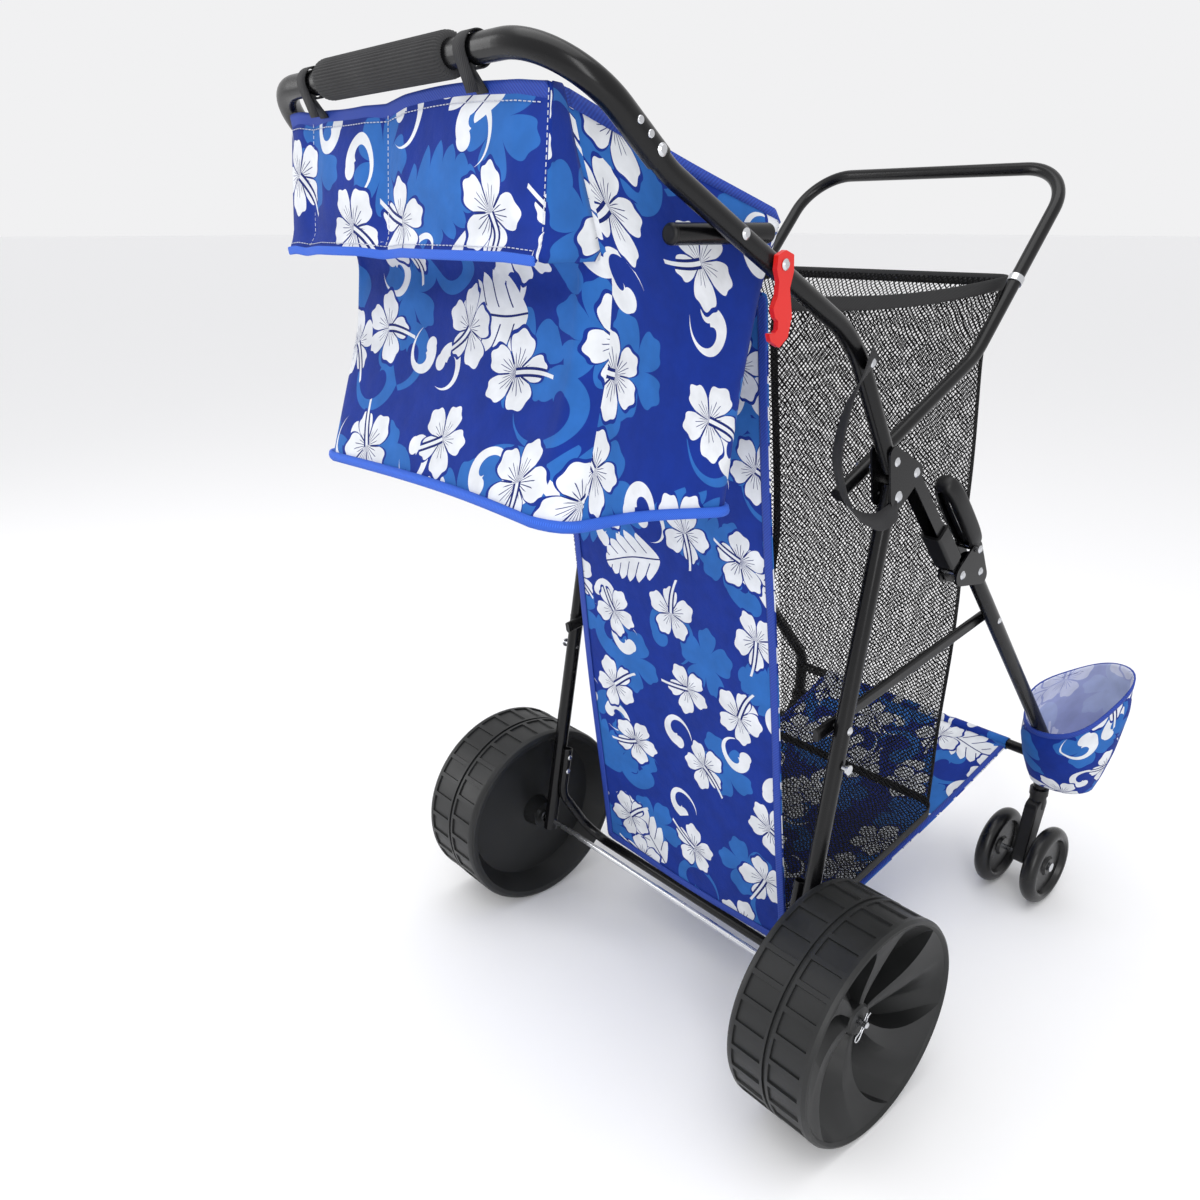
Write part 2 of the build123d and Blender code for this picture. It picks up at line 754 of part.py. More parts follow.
def link_caps():
    with BuildPart() as caps:
        for point, angle in ((along(link_rear, link_angle, -link_tail), link_angle + 180),
                             (along(link_front, link_angle, link_nose), link_angle)):
            direction = (0, cos(radians(angle)), sin(radians(angle)))
            plane = Plane(origin=(link_x, *point), x_dir=(1, 0, 0), z_dir=direction)
            with BuildSketch(plane.offset(0.1)):
                RectangleRounded(link_w, link_h, link_w / 2 - 0.1)
            extrude(amount=4)
            with BuildSketch(plane.offset(-9)):
                RectangleRounded(link_w - 2.1, link_h - 2.1, link_w / 2 - 1.2)
            extrude(amount=9.1)
    return caps


right_link = save(side_link(), "side_link_right")
save(mirrored(right_link), "side_link_left")
right_caps = save(link_caps(), "link_caps_right")
save(mirrored(right_caps), "link_caps_left")


# ---------------- casters ----------------
def caster_collar():
    """Socket bush in the foot of the front leg, with the clip ring under it."""
    with BuildPart() as collar:
        with BuildSketch(Plane.XY.offset(front_socket_z - 11)):
            with Locations((side_x, front_stem_y)):
                Circle(collar_r)
        extrude(amount=10.9)
        with BuildSketch(Plane.XY.offset(front_socket_z - 0.1)):
            with Locations((side_x, front_stem_y)):
                Circle(leg_r - leg_wall - 0.05)
        extrude(amount=36)
        with Locations((side_x, front_stem_y, front_socket_z)):
            Cylinder(stem_r + fit, 120, mode=Mode.SUBTRACT)
    return collar


def caster_fork():
    """Swivel body between the twin wheels, with its stem."""
    top = front_socket_z - 11 - clearance
    y, z = caster_axle
    with BuildPart() as fork:
        with BuildSketch(Plane.YZ.offset(side_x - fork_w / 2)):
            for point, radius in (((y, z), 13.0), ((front_stem_y, top - 16), 12.0),
                                  ((front_stem_y - 8, top - 22), 14.0)):
                with Locations(point):
                    Circle(radius)
            make_hull()
        extrude(amount=fork_w)
        fillet(fork.edges().filter_by(Axis.X, reverse=True), 2.5)
        with BuildSketch(Plane.XY.offset(top - 22)):
            with Locations((side_x, front_stem_y)):
                Circle(12.5)
        extrude(amount=22)
        with BuildSketch(Plane.XY.offset(top)):
            with Locations((side_x, front_stem_y)):
                Circle(stem_r)
        extrude(amount=44)
        drill([caster_axle], caster_axle_r, depth=2 * fork_w)
    return fork


axle_half = caster_spread + caster_w / 2 - 3


def caster_axle_rod():
    with BuildPart() as rod:
        with Locations(Location((side_x, *caster_axle), (0, 90, 0))):
            Cylinder(caster_axle_r, 2 * axle_half)
        for side in (-1, 1):
            with Locations(Location((side_x + side * (axle_half + 1.0), *caster_axle), (0, 90, 0))):
                Cylinder(7.0, 2.0)
    return rod


def caster_wheel(side):
    """Twin caster wheel with a round tyre and a dished hub; side is +1 outboard."""
    centre = side_x + side * caster_spread
    w = caster_w / 2
    axis = Axis((0, *caster_axle), (1, 0, 0))
    with BuildPart() as wheel:
        with BuildSketch(Plane.XY.offset(caster_axle[1])):
            with BuildLine():
                outer = caster_axle[0] + caster_r
                tyre_y = caster_axle[0] + caster_r - 14
                face_y = caster_axle[0] + caster_r - 20
                hub_y = caster_axle[0] + 13
                bore_y = caster_axle[0] + caster_axle_r + fit
                Polyline((centre + w - 4.5, bore_y), (centre + w - 4.5, hub_y),
                         (centre + 4, hub_y + 3), (centre + 4, face_y), (centre + w - 2, face_y + 3),
                         (centre + w, tyre_y))
                ThreePointArc((centre + w, tyre_y), (centre, outer), (centre - w, tyre_y))
                Polyline((centre - w, tyre_y), (centre - w + 2, face_y + 3), (centre - 4, face_y),
                         (centre - 4, hub_y + 3), (centre - w + 4.5, hub_y), (centre - w + 4.5, bore_y),
                         (centre + w - 4.5, bore_y))
            make_face()
        revolve(axis=axis)
    return wheel


save(both_sides(caster_collar()), "caster_collars")
right_fork = save(caster_fork(), "caster_fork_right")
save(mirrored(right_fork), "caster_fork_left")
right_rod = save(caster_axle_rod(), "caster_axle_right")
save(mirrored(right_rod), "caster_axle_left")
for place, side in (("outer", 1), ("inner", -1)):
    wheel = save(caster_wheel(side), f"caster_wheel_{place}_right")
    save(mirrored(wheel), f"caster_wheel_{place}_left")


# ---------------- cloth ----------------
def storage_bag():
    """Open-topped bag between the side tubes, under the handle."""
    with BuildPart() as bag:
        with BuildSketch(Plane.YZ.offset(-bag_x)):
            with BuildLine():
                Polyline(*bag_side, close=True)
            make_face()
        extrude(amount=2 * bag_x)
        fillet(bag.edges().filter_by(Axis.Z, reverse=True).filter_by(Axis.X).group_by(Axis.Z)[0], 18)
        top = bag.faces().sort_by(Axis.Z)[-1]
        offset(amount=-bag_wall, openings=top)
    return bag


def bag_pocket():
    """Flat pocket on the bag's rear face."""
    y, z = bag_side[0]
    low = bag_side[3]
    drop = between(bag_side[0], low, z - pocket_drop)
    with BuildPart() as pocket:
        with BuildSketch(Plane.YZ.offset(-bag_x + 4)):
            with BuildLine():
                Polyline((y - clearance, z - 4), (y - 7, z - 4), (drop[0] - 16, drop[1]),
                         (drop[0] - clearance, drop[1]), close=True)
            make_face()
        extrude(amount=2 * bag_x - 8)
    return pocket


def mesh_bag():
    """Net bag inside the hoop, open at the top and closed behind by the back panel."""
    with BuildPart() as bag:
        with BuildSketch(Plane.YZ.offset(-mesh_x)):
            with BuildLine():
                Polyline(*mesh_side, close=True)
            make_face()
        extrude(amount=2 * mesh_x)
        top = bag.faces().filter_by(lambda f: f.normal_at().Z > 0.9)[0]
        rear = bag.faces().filter_by(lambda f: f.normal_at().Y < -0.9)[0]
        offset(amount=-cloth_t, openings=[top, rear])
    return bag


def bag_loops():
    """Webbing loops that hang the storage bag's rear hem from the handle."""
    with BuildPart() as loops:
        for x in (-loop_x - loop_w, loop_x):
            with BuildSketch(Plane.YZ.offset(x)):
                with Locations(handle_bar):
                    Circle(handle_r + 0.2 + strap_t)
                with Locations((bag_side[0][0] + bag_wall / 2, bag_side[0][1] + strap_t + 0.5)):
                    Circle(strap_t)
                make_hull()
                with Locations(handle_bar):
                    Circle(handle_r + 0.2, mode=Mode.SUBTRACT)
            extrude(amount=loop_w)
    return loops


save(storage_bag(), "storage_bag")
save(bag_pocket(), "bag_pocket")
save(bag_loops(), "bag_loops")
save(mesh_bag(), "mesh_bag")

rear_top, rear_low = mesh_side[0], mesh_side[4]
with BuildPart() as back:
    gap_top = (rear_top[0] - clearance, rear_top[1])
    gap_low = (rear_low[0] - clearance, panel_bar[1] + panel_tube_r + 0.3)
    with BuildSketch(Plane.YZ.offset(-back_half)):
        with BuildLine():
            Polyline(gap_top, (gap_top[0] - cloth_t, gap_top[1]),
                     (rear_low[0] - clearance - cloth_t, rear_low[1]),
                     (gap_low[0] - cloth_t, gap_low[1]), gap_low,
                     (rear_low[0] - clearance, rear_low[1]), close=True)
        make_face()
    extrude(amount=2 * back_half)
save(back, "back_panel")

with BuildPart() as floor:
    floor_rear = (panel_bar[0] + 2, panel_bar[1] + panel_tube_r + clearance + 0.2)
    floor_front = (front_stem_y - cross_r - clearance, cross_z)
    with BuildSketch(Plane.YZ.offset(-panel_half)):
        with BuildLine():
            Polyline(floor_rear, (floor_front[0] - 140, floor_rear[1] + 62), floor_front,
                     (floor_front[0], floor_front[1] - cloth_t),
                     (floor_front[0] - 140, floor_rear[1] + 62 - cloth_t),
                     (floor_rear[0] + 6, floor_rear[1] - 0.2), close=True)
        make_face()
    extrude(amount=2 * panel_half)
save(floor, "floor_panel")


def umbrella_boot():
    """Cloth pouch around the foot of the right front leg, open at the top."""
    x, y = boot_centre
    height = boot_top_z - boot_bottom_z
    lean = Plane(origin=(x, y, boot_top_z), z_dir=(0, -sin(radians(boot_tilt)), cos(radians(boot_tilt))))
    low = boot_bottom_z + height / 2 + 30
    leg_route = [(side_x, *link_front), (side_x, *front_corner), (side_x, front_stem_y, boot_bottom_z - 9)]
    leg_space = tube(leg_route, leg_r + clearance, 0, front_bend_r)
    with BuildPart() as boot:
        with Locations((x, y, low)):
            Cone(boot_low_r, boot_top_r + 8, height + 60)
        with Locations((x, y, low + cloth_t)):
            Cone(boot_low_r - cloth_t, boot_top_r + 8 - cloth_t, height + 60, mode=Mode.SUBTRACT)
        split(bisect_by=lean, keep=Keep.BOTTOM)
        add(leg_space.part, mode=Mode.SUBTRACT)
        with Locations(Location((side_x - leg_r - 30, front_stem_y, cross_z), (0, 90, 0))):
            Cylinder(cross_r + clearance, 60, mode=Mode.SUBTRACT)
    return boot


def tie_strap():
    """Webbing band riveted to the side tube and looped back to the pivot bracket."""
    y0, z0 = strap_top
    with BuildPart() as strap:
        with BuildSketch(Plane.YZ.offset(strap_x)):
            with BuildLine():
                Spline((y0 + 4, z0 + 6), (y0 - 42, z0 - 40), (y0 - 58, z0 - 92), (y0 - 30, z0 - 142),
                       (y0 + 30, z0 - 172), (y0 + 74, z0 - 168))
            trace(line_width=strap_w)
            with Locations((y0, z0)):
                Circle(2.5 + fit, mode=Mode.SUBTRACT)
        extrude(amount=strap_t)
    return strap


save(umbrella_boot(), "umbrella_boot")
save(tie_strap(), "tie_strap")
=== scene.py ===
"""Beach cart: looks of every piece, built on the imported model."""
import json
from math import cos, pi, radians, sin, tau

import bpy
import numpy as np
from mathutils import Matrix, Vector


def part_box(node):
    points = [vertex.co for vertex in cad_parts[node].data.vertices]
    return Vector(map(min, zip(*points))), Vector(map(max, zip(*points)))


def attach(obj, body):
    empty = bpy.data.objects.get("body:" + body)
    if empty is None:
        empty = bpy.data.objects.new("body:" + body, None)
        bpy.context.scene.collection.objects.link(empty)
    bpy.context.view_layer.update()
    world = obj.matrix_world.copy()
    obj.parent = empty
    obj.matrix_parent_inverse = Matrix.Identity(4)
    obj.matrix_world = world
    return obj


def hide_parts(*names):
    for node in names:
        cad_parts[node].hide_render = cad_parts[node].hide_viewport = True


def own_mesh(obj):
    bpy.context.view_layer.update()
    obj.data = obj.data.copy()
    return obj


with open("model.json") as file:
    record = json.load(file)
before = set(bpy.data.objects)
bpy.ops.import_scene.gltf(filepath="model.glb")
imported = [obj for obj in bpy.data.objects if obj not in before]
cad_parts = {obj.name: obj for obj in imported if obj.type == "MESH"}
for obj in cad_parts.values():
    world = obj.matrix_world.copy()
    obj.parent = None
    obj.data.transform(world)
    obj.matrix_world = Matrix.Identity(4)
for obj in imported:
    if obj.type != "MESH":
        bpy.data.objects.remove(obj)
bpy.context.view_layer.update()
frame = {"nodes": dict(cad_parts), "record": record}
scene = bpy.context.scene


# ---------------- camera, light and floor ----------------
camera = bpy.data.objects.new("camera", bpy.data.cameras.new("camera"))
scene.collection.objects.link(camera)
camera.location = (0.8490, -0.8490, 1.0035)
camera.rotation_euler = (radians(69.92), 0, radians(48.86))
camera.data.lens = 30.84
camera.data.sensor_width = 36
scene.camera = camera


def srgb(code, alpha=1.0):
    """An sRGB hex colour as linear red, green, blue and alpha."""
    channels = [int(code[i:i + 2], 16) / 255 for i in (1, 3, 5)]
    return [c / 12.92 if c <= 0.04045 else ((c + 0.055) / 1.055) ** 2.4 for c in channels] + [alpha]


def area_light(name, place, aim, size, watts):
    light = bpy.data.objects.new(name, bpy.data.lights.new(name, "AREA"))
    scene.collection.objects.link(light)
    light.data.shape = "RECTANGLE"
    light.data.size, light.data.size_y = size
    light.data.energy = watts
    light.location = place
    light.rotation_euler = (Vector(aim) - Vector(place)).to_track_quat("-Z", "Y").to_euler()


area_light("overhead_soft_box", (0.2, -0.4, 3.2), (0, 0.1, 0.4), (2.6, 2.6), 40)
area_light("camera_side_soft_box", (2.6, -2.0, 1.6), (0, 0.1, 0.5), (0.8, 2.4), 34)
area_light("left_soft_box", (-2.4, -1.9, 1.5), (0, 0.0, 0.6), (0.6, 2.4), 20)

world = bpy.data.worlds.new("studio")
scene.world = world
world.use_nodes = True
world.node_tree.nodes["Background"].inputs[0].default_value = srgb("#fafafb")
world.node_tree.nodes["Background"].inputs[1].default_value = 0.92
scene.view_settings.view_transform = "Standard"


def add(tree, kind, *links, **settings):
    """Adds a node. links are its inputs in order: a value, an output socket, or None to leave one."""
    made = tree.nodes.new(kind)
    for key, value in settings.items():
        setattr(made, key, value)
    for socket, given in zip(made.inputs, links):
        if isinstance(given, bpy.types.NodeSocket):
            tree.links.new(given, socket)
        elif given is not None:
            socket.default_value = given
    return made


def plain(name, base, roughness, metallic=0.0, **sockets):
    """A material with its Principled shader's fixed values set."""
    made = bpy.data.materials.new(name)
    made.use_nodes = True
    shader = made.node_tree.nodes["Principled BSDF"]
    shader.inputs["Base Color"].default_value = srgb(base)
    shader.inputs["Roughness"].default_value = roughness
    shader.inputs["Metallic"].default_value = metallic
    for key, value in sockets.items():
        shader.inputs[key.replace("_", " ")].default_value = value
    return made, made.node_tree, shader


def grained(name, base, light, roughness, grain_mm, depth_mm, metallic=0.0, **sockets):
    """A surface with fine grain: colour drifts between two shades, and the grain lifts the surface."""
    made, tree, shader = plain(name, base, roughness, metallic, **sockets)
    place = add(tree, "ShaderNodeTexCoord").outputs["Object"]
    grain = add(tree, "ShaderNodeTexNoise", place, None, 1000 / grain_mm, 3.0)
    drift = add(tree, "ShaderNodeTexNoise", place, None, 18.0, 2.0)
    shade = add(tree, "ShaderNodeMix", drift.outputs[0], data_type="RGBA")
    shade.inputs[6].default_value, shade.inputs[7].default_value = srgb(base), srgb(light)
    tree.links.new(shade.outputs[2], shader.inputs["Base Color"])
    wear = add(tree, "ShaderNodeMapRange", drift.outputs[0], 0.3, 0.7, roughness * 0.85,
               min(1.0, roughness * 1.2))
    tree.links.new(wear.outputs[0], shader.inputs["Roughness"])
    bump = add(tree, "ShaderNodeBump", 1.0, depth_mm / 1000, None, grain.outputs[0])
    tree.links.new(bump.outputs[0], shader.inputs["Normal"])
    return made


# Polyester powder coat on steel tube: satin, with a fine orange peel about 1.5 mm across.
powder_coat = grained("powder_coated_steel", "#060607", "#0b0b0d", 0.24, 1.5, 0.01, IOR=1.5,
                      Specular_IOR_Level=0.3)
# Zinc plated steel: bright and slightly blurred by the plating.
zinc_plate = grained("zinc_plated_steel", "#b9bbbf", "#d6d7da", 0.24, 0.9, 0.01, metallic=1.0)
# Injection moulded polypropylene with a spark-eroded grain, the black of the latches and forks.
moulded_pp = grained("moulded_polypropylene_black", "#0c0c0d", "#131315", 0.40, 0.8, 0.03, IOR=1.49,
                     Specular_IOR_Level=0.35)
# Blow moulded polyethylene wheel: waxy and a little dusty.
moulded_pe = grained("moulded_polyethylene_wheel", "#101111", "#1c1d1e", 0.44, 1.2, 0.04, IOR=1.51,
                     Specular_IOR_Level=0.4)
# Moulded PVC caster tread: smooth and dark, with a soft shine.
caster_pvc = grained("moulded_pvc_caster", "#09090a", "#0f0f11", 0.30, 2.5, 0.02, IOR=1.53,
                     Specular_IOR_Level=0.35)
# Gloss moulded polypropylene, pigment red.
red_pp = grained("moulded_polypropylene_red", "#c4140f", "#d41f18", 0.3, 3.0, 0.03, IOR=1.49)
# Closed-cell EVA foam: matt skin with cells about 0.7 mm across.
eva_foam = grained("eva_foam", "#2a2a2b", "#39393a", 0.78, 0.7, 0.12, IOR=1.45)


def cloth_place(tree, scale=1.0):
    """Where a point lies on the flat cloth, in metres times scale."""
    uv = add(tree, "ShaderNodeUVMap", uv_map="cloth").outputs[0]
    return add(tree, "ShaderNodeVectorMath", uv, (scale,) * 3, operation="MULTIPLY").outputs[0]


def weave(tree, shader, thread_mm, depth_mm):
    """Plain weave: two sets of threads at right angles. Threads under 1 mm are drawn 1 mm wide to show."""
    place = cloth_place(tree)
    rate = 3.2 * 1000 / (2 * pi * thread_mm)
    across = add(tree, "ShaderNodeTexWave", place, rate, bands_direction="X")
    along = add(tree, "ShaderNodeTexWave", place, rate, bands_direction="Y")
    both = add(tree, "ShaderNodeMath", across.outputs["Fac"], along.outputs["Fac"], operation="MULTIPLY")
    crumple = add(tree, "ShaderNodeTexNoise", place, None, 22.0, 4.0)
    high = add(tree, "ShaderNodeMath", crumple.outputs[0], 60.0, both.outputs[0], operation="MULTIPLY_ADD")
    bump = add(tree, "ShaderNodeBump", 0.8, depth_mm / 1000, None, high.outputs[0])
    tree.links.new(bump.outputs[0], shader.inputs["Normal"])


def scatter(tree, place, pitch, offset, looseness=0.55):
    """Scatters motifs on a loose grid. Returns a motif's own X, Y, its distance from the centre and its
    chance value."""
    scaled = add(tree, "ShaderNodeVectorMath", place, (1 / pitch,) * 3, offset,
                 operation="MULTIPLY_ADD").outputs[0]
    cells = add(tree, "ShaderNodeTexVoronoi", voronoi_dimensions="2D")
    tree.links.new(scaled, cells.inputs["Vector"])
    cells.inputs["Scale"].default_value = 1.0
    cells.inputs["Randomness"].default_value = looseness
    from_centre = add(tree, "ShaderNodeVectorMath", scaled, cells.outputs["Position"],
                      operation="SUBTRACT").outputs[0]
    chance = add(tree, "ShaderNodeSeparateColor", cells.outputs["Color"])
    turn = add(tree, "ShaderNodeMath", chance.outputs[0], tau, operation="MULTIPLY").outputs[0]
    turned = add(tree, "ShaderNodeVectorRotate", from_centre, rotation_type="Z_AXIS")
    tree.links.new(turn, turned.inputs["Angle"])
    metres = add(tree, "ShaderNodeVectorMath", turned.outputs[0], (pitch,) * 3,
                 operation="MULTIPLY").outputs[0]
    split = add(tree, "ShaderNodeSeparateXYZ", metres)
    far = add(tree, "ShaderNodeVectorMath", metres, operation="LENGTH").outputs["Value"]
    return split.outputs[0], split.outputs[1], far, chance.outputs[1]


def hibiscus(tree, place, pitch, offset, radius, detail=True):
    """Five-petalled flowers. Returns the flower's mask and, with detail, the mask of its inked lines."""
    x, y, far, _ = scatter(tree, place, pitch, offset)
    squeezed = add(tree, "ShaderNodeMath", y, 1.22, operation="MULTIPLY").outputs[0]
    angle = add(tree, "ShaderNodeMath", squeezed, x, operation="ARCTAN2").outputs[0]
    lobe = add(tree, "ShaderNodeMath", angle, 2.5, operation="MULTIPLY").outputs[0]
    lobe = add(tree, "ShaderNodeMath", lobe, operation="COSINE").outputs[0]
    lobe = add(tree, "ShaderNodeMath", lobe, operation="ABSOLUTE").outputs[0]
    ruffle = add(tree, "ShaderNodeMath", angle, 15.0, operation="MULTIPLY").outputs[0]
    ruffle = add(tree, "ShaderNodeMath", ruffle, operation="COSINE").outputs[0]
    ruffle = add(tree, "ShaderNodeMath", ruffle, radius * 0.035, operation="MULTIPLY").outputs[0]
    edge = add(tree, "ShaderNodeMath", lobe, 0.42, operation="POWER").outputs[0]
    edge = add(tree, "ShaderNodeMath", edge, radius * 0.62, ruffle, operation="MULTIPLY_ADD").outputs[0]
    edge = add(tree, "ShaderNodeMath", edge, radius * 0.34, operation="ADD").outputs[0]
    inside = add(tree, "ShaderNodeMath", edge, far, operation="SUBTRACT").outputs[0]
    petals = add(tree, "ShaderNodeMath", inside, 0.0, operation="GREATER_THAN").outputs[0]
    if not detail:
        return petals, None, None
    halo = add(tree, "ShaderNodeMath", inside, -radius * 0.09, operation="GREATER_THAN").outputs[0]
    between_petals = add(tree, "ShaderNodeMath", lobe, far, operation="MULTIPLY").outputs[0]
    between_petals = add(tree, "ShaderNodeMath", between_petals, radius * 0.07,
                         operation="LESS_THAN").outputs[0]
    outer = add(tree, "ShaderNodeMath", far, radius * 0.26, operation="GREATER_THAN").outputs[0]
    gaps = add(tree, "ShaderNodeMath", between_petals, outer, operation="MULTIPLY").outputs[0]
    reach = add(tree, "ShaderNodeMath", angle, 7.5, operation="MULTIPLY").outputs[0]
    reach = add(tree, "ShaderNodeMath", reach, operation="SINE").outputs[0]
    reach = add(tree, "ShaderNodeMath", reach, operation="ABSOLUTE").outputs[0]
    reach = add(tree, "ShaderNodeMath", reach, radius * 0.26, radius * 0.36,
                operation="MULTIPLY_ADD").outputs[0]
    ray = add(tree, "ShaderNodeMath", angle, 12.5, operation="MULTIPLY").outputs[0]
    ray = add(tree, "ShaderNodeMath", ray, operation="COSINE").outputs[0]
    ray = add(tree, "ShaderNodeMath", ray, operation="ABSOLUTE").outputs[0]
    ray = add(tree, "ShaderNodeMath", ray, far, operation="MULTIPLY").outputs[0]
    ray = add(tree, "ShaderNodeMath", ray, radius * 0.13, operation="LESS_THAN").outputs[0]
    near = add(tree, "ShaderNodeMath", far, reach, operation="LESS_THAN").outputs[0]
    heart = add(tree, "ShaderNodeMath", far, radius * 0.13, operation="GREATER_THAN").outputs[0]
    rays = add(tree, "ShaderNodeMath", ray, near, operation="MULTIPLY").outputs[0]
    rays = add(tree, "ShaderNodeMath", rays, heart, operation="MULTIPLY").outputs[0]
    ink = add(tree, "ShaderNodeMath", gaps, rays, operation="MAXIMUM").outputs[0]
    # The pistil: a curved stalk that runs past the petals.
    bow = add(tree, "ShaderNodeMath", x, 1 / radius, operation="MULTIPLY").outputs[0]
    bow = add(tree, "ShaderNodeMath", bow, 2.0, operation="POWER").outputs[0]
    bow = add(tree, "ShaderNodeMath", bow, -radius * 0.16, y, operation="MULTIPLY_ADD").outputs[0]
    bow = add(tree, "ShaderNodeMath", bow, operation="ABSOLUTE").outputs[0]
    ahead = add(tree, "ShaderNodeMath", x, 0.0, operation="GREATER_THAN").outputs[0]
    short = add(tree, "ShaderNodeMath", x, radius * 1.22, operation="LESS_THAN").outputs[0]
    stalk_span = add(tree, "ShaderNodeMath", ahead, short, operation="MULTIPLY").outputs[0]
    stalk = add(tree, "ShaderNodeMath", bow, radius * 0.045, operation="LESS_THAN").outputs[0]
    stalk = add(tree, "ShaderNodeMath", stalk, stalk_span, operation="MULTIPLY").outputs[0]
    stalk_edge = add(tree, "ShaderNodeMath", bow, radius * 0.11, operation="LESS_THAN").outputs[0]
    stalk_edge = add(tree, "ShaderNodeMath", stalk_edge, stalk_span, operation="MULTIPLY").outputs[0]
    ink = add(tree, "ShaderNodeMath", ink, stalk_edge, operation="MAXIMUM").outputs[0]
    bare = add(tree, "ShaderNodeMath", stalk, -1.0, 1.0, operation="MULTIPLY_ADD").outputs[0]
    ink = add(tree, "ShaderNodeMath", ink, bare, operation="MULTIPLY").outputs[0]
    shape = add(tree, "ShaderNodeMath", petals, stalk, operation="MAXIMUM").outputs[0]
    return shape, ink, halo


def monstera(tree, place, pitch, offset, length):
    """Split leaves with slanting veins. Returns the leaf's mask and the mask of its veins."""
    x, y, _, chance = scatter(tree, place, pitch, offset)
    side = add(tree, "ShaderNodeMath", y, operation="ABSOLUTE").outputs[0]
    run = add(tree, "ShaderNodeMath", x, 1 / length, operation="MULTIPLY").outputs[0]
    full = add(tree, "ShaderNodeMath", run, run, operation="MULTIPLY").outputs[0]
    full = add(tree, "ShaderNodeMath", full, -1.0, 1.0, operation="MULTIPLY_ADD").outputs[0]
    full = add(tree, "ShaderNodeMath", full, 0.0, operation="MAXIMUM").outputs[0]
    full = add(tree, "ShaderNodeMath", full, 0.6, operation="POWER").outputs[0]
    slant = add(tree, "ShaderNodeMath", side, -0.75, x, operation="MULTIPLY_ADD").outputs[0]
    slant = add(tree, "ShaderNodeMath", slant, 1 / (length * 0.36), operation="MULTIPLY").outputs[0]
    finger = add(tree, "ShaderNodeMath", slant, 0.5, operation="PINGPONG").outputs[0]
    finger = add(tree, "ShaderNodeMath", finger, 2.0, operation="MULTIPLY").outputs[0]
    width = add(tree, "ShaderNodeMath", finger, 0.45, operation="POWER").outputs[0]
    width = add(tree, "ShaderNodeMath", width, length * 0.3, length * 0.38,
                operation="MULTIPLY_ADD").outputs[0]
    width = add(tree, "ShaderNodeMath", width, full, operation="MULTIPLY").outputs[0]
    leaf = add(tree, "ShaderNodeMath", side, width, operation="LESS_THAN").outputs[0]
    vein = add(tree, "ShaderNodeMath", finger, 0.1, operation="LESS_THAN").outputs[0]
    off_rib = add(tree, "ShaderNodeMath", side, length * 0.12, operation="GREATER_THAN").outputs[0]
    vein = add(tree, "ShaderNodeMath", vein, off_rib, operation="MULTIPLY").outputs[0]
    rib = add(tree, "ShaderNodeMath", side, length * 0.018, operation="LESS_THAN").outputs[0]
    ink = add(tree, "ShaderNodeMath", vein, rib, operation="MAXIMUM").outputs[0]
    chosen = add(tree, "ShaderNodeMath", chance, 0.35, operation="GREATER_THAN").outputs[0]
    leaf = add(tree, "ShaderNodeMath", leaf, chosen, operation="MULTIPLY").outputs[0]
    return leaf, ink


def scroll(tree, place, pitch, offset, radius):
    """Curling scrolls: a crescent that thickens towards its curled end."""
    x, y, far, chance = scatter(tree, place, pitch, offset, 0.8)
    angle = add(tree, "ShaderNodeMath", y, x, operation="ARCTAN2").outputs[0]
    spiral = add(tree, "ShaderNodeMath", angle, radius * 0.12, radius * 0.68,
                 operation="MULTIPLY_ADD").outputs[0]
    off_line = add(tree, "ShaderNodeMath", far, spiral, operation="SUBTRACT").outputs[0]
    off_line = add(tree, "ShaderNodeMath", off_line, operation="ABSOLUTE").outputs[0]
    half = add(tree, "ShaderNodeMath", angle, -radius * 0.055, radius * 0.17,
               operation="MULTIPLY_ADD").outputs[0]
    band = add(tree, "ShaderNodeMath", off_line, half, operation="LESS_THAN").outputs[0]
    open_end = add(tree, "ShaderNodeMath", angle, -2.1, operation="GREATER_THAN").outputs[0]
    knob_x = add(tree, "ShaderNodeMath", x, radius * 0.22, operation="ADD").outputs[0]
    knob_y = add(tree, "ShaderNodeMath", y, radius * 0.34, operation="ADD").outputs[0]
    knob = add(tree, "ShaderNodeCombineXYZ", knob_x, knob_y)
    round_end = add(tree, "ShaderNodeVectorMath", knob.outputs[0], operation="LENGTH").outputs["Value"]
    tip = add(tree, "ShaderNodeMath", round_end, radius * 0.3, operation="LESS_THAN").outputs[0]
    curl = add(tree, "ShaderNodeMath", band, open_end, operation="MULTIPLY").outputs[0]
    curl = add(tree, "ShaderNodeMath", curl, tip, operation="MAXIMUM").outputs[0]
    chosen = add(tree, "ShaderNodeMath", chance, 0.3, operation="GREATER_THAN").outputs[0]
    curl = add(tree, "ShaderNodeMath", curl, chosen, operation="MULTIPLY").outputs[0]
    return curl


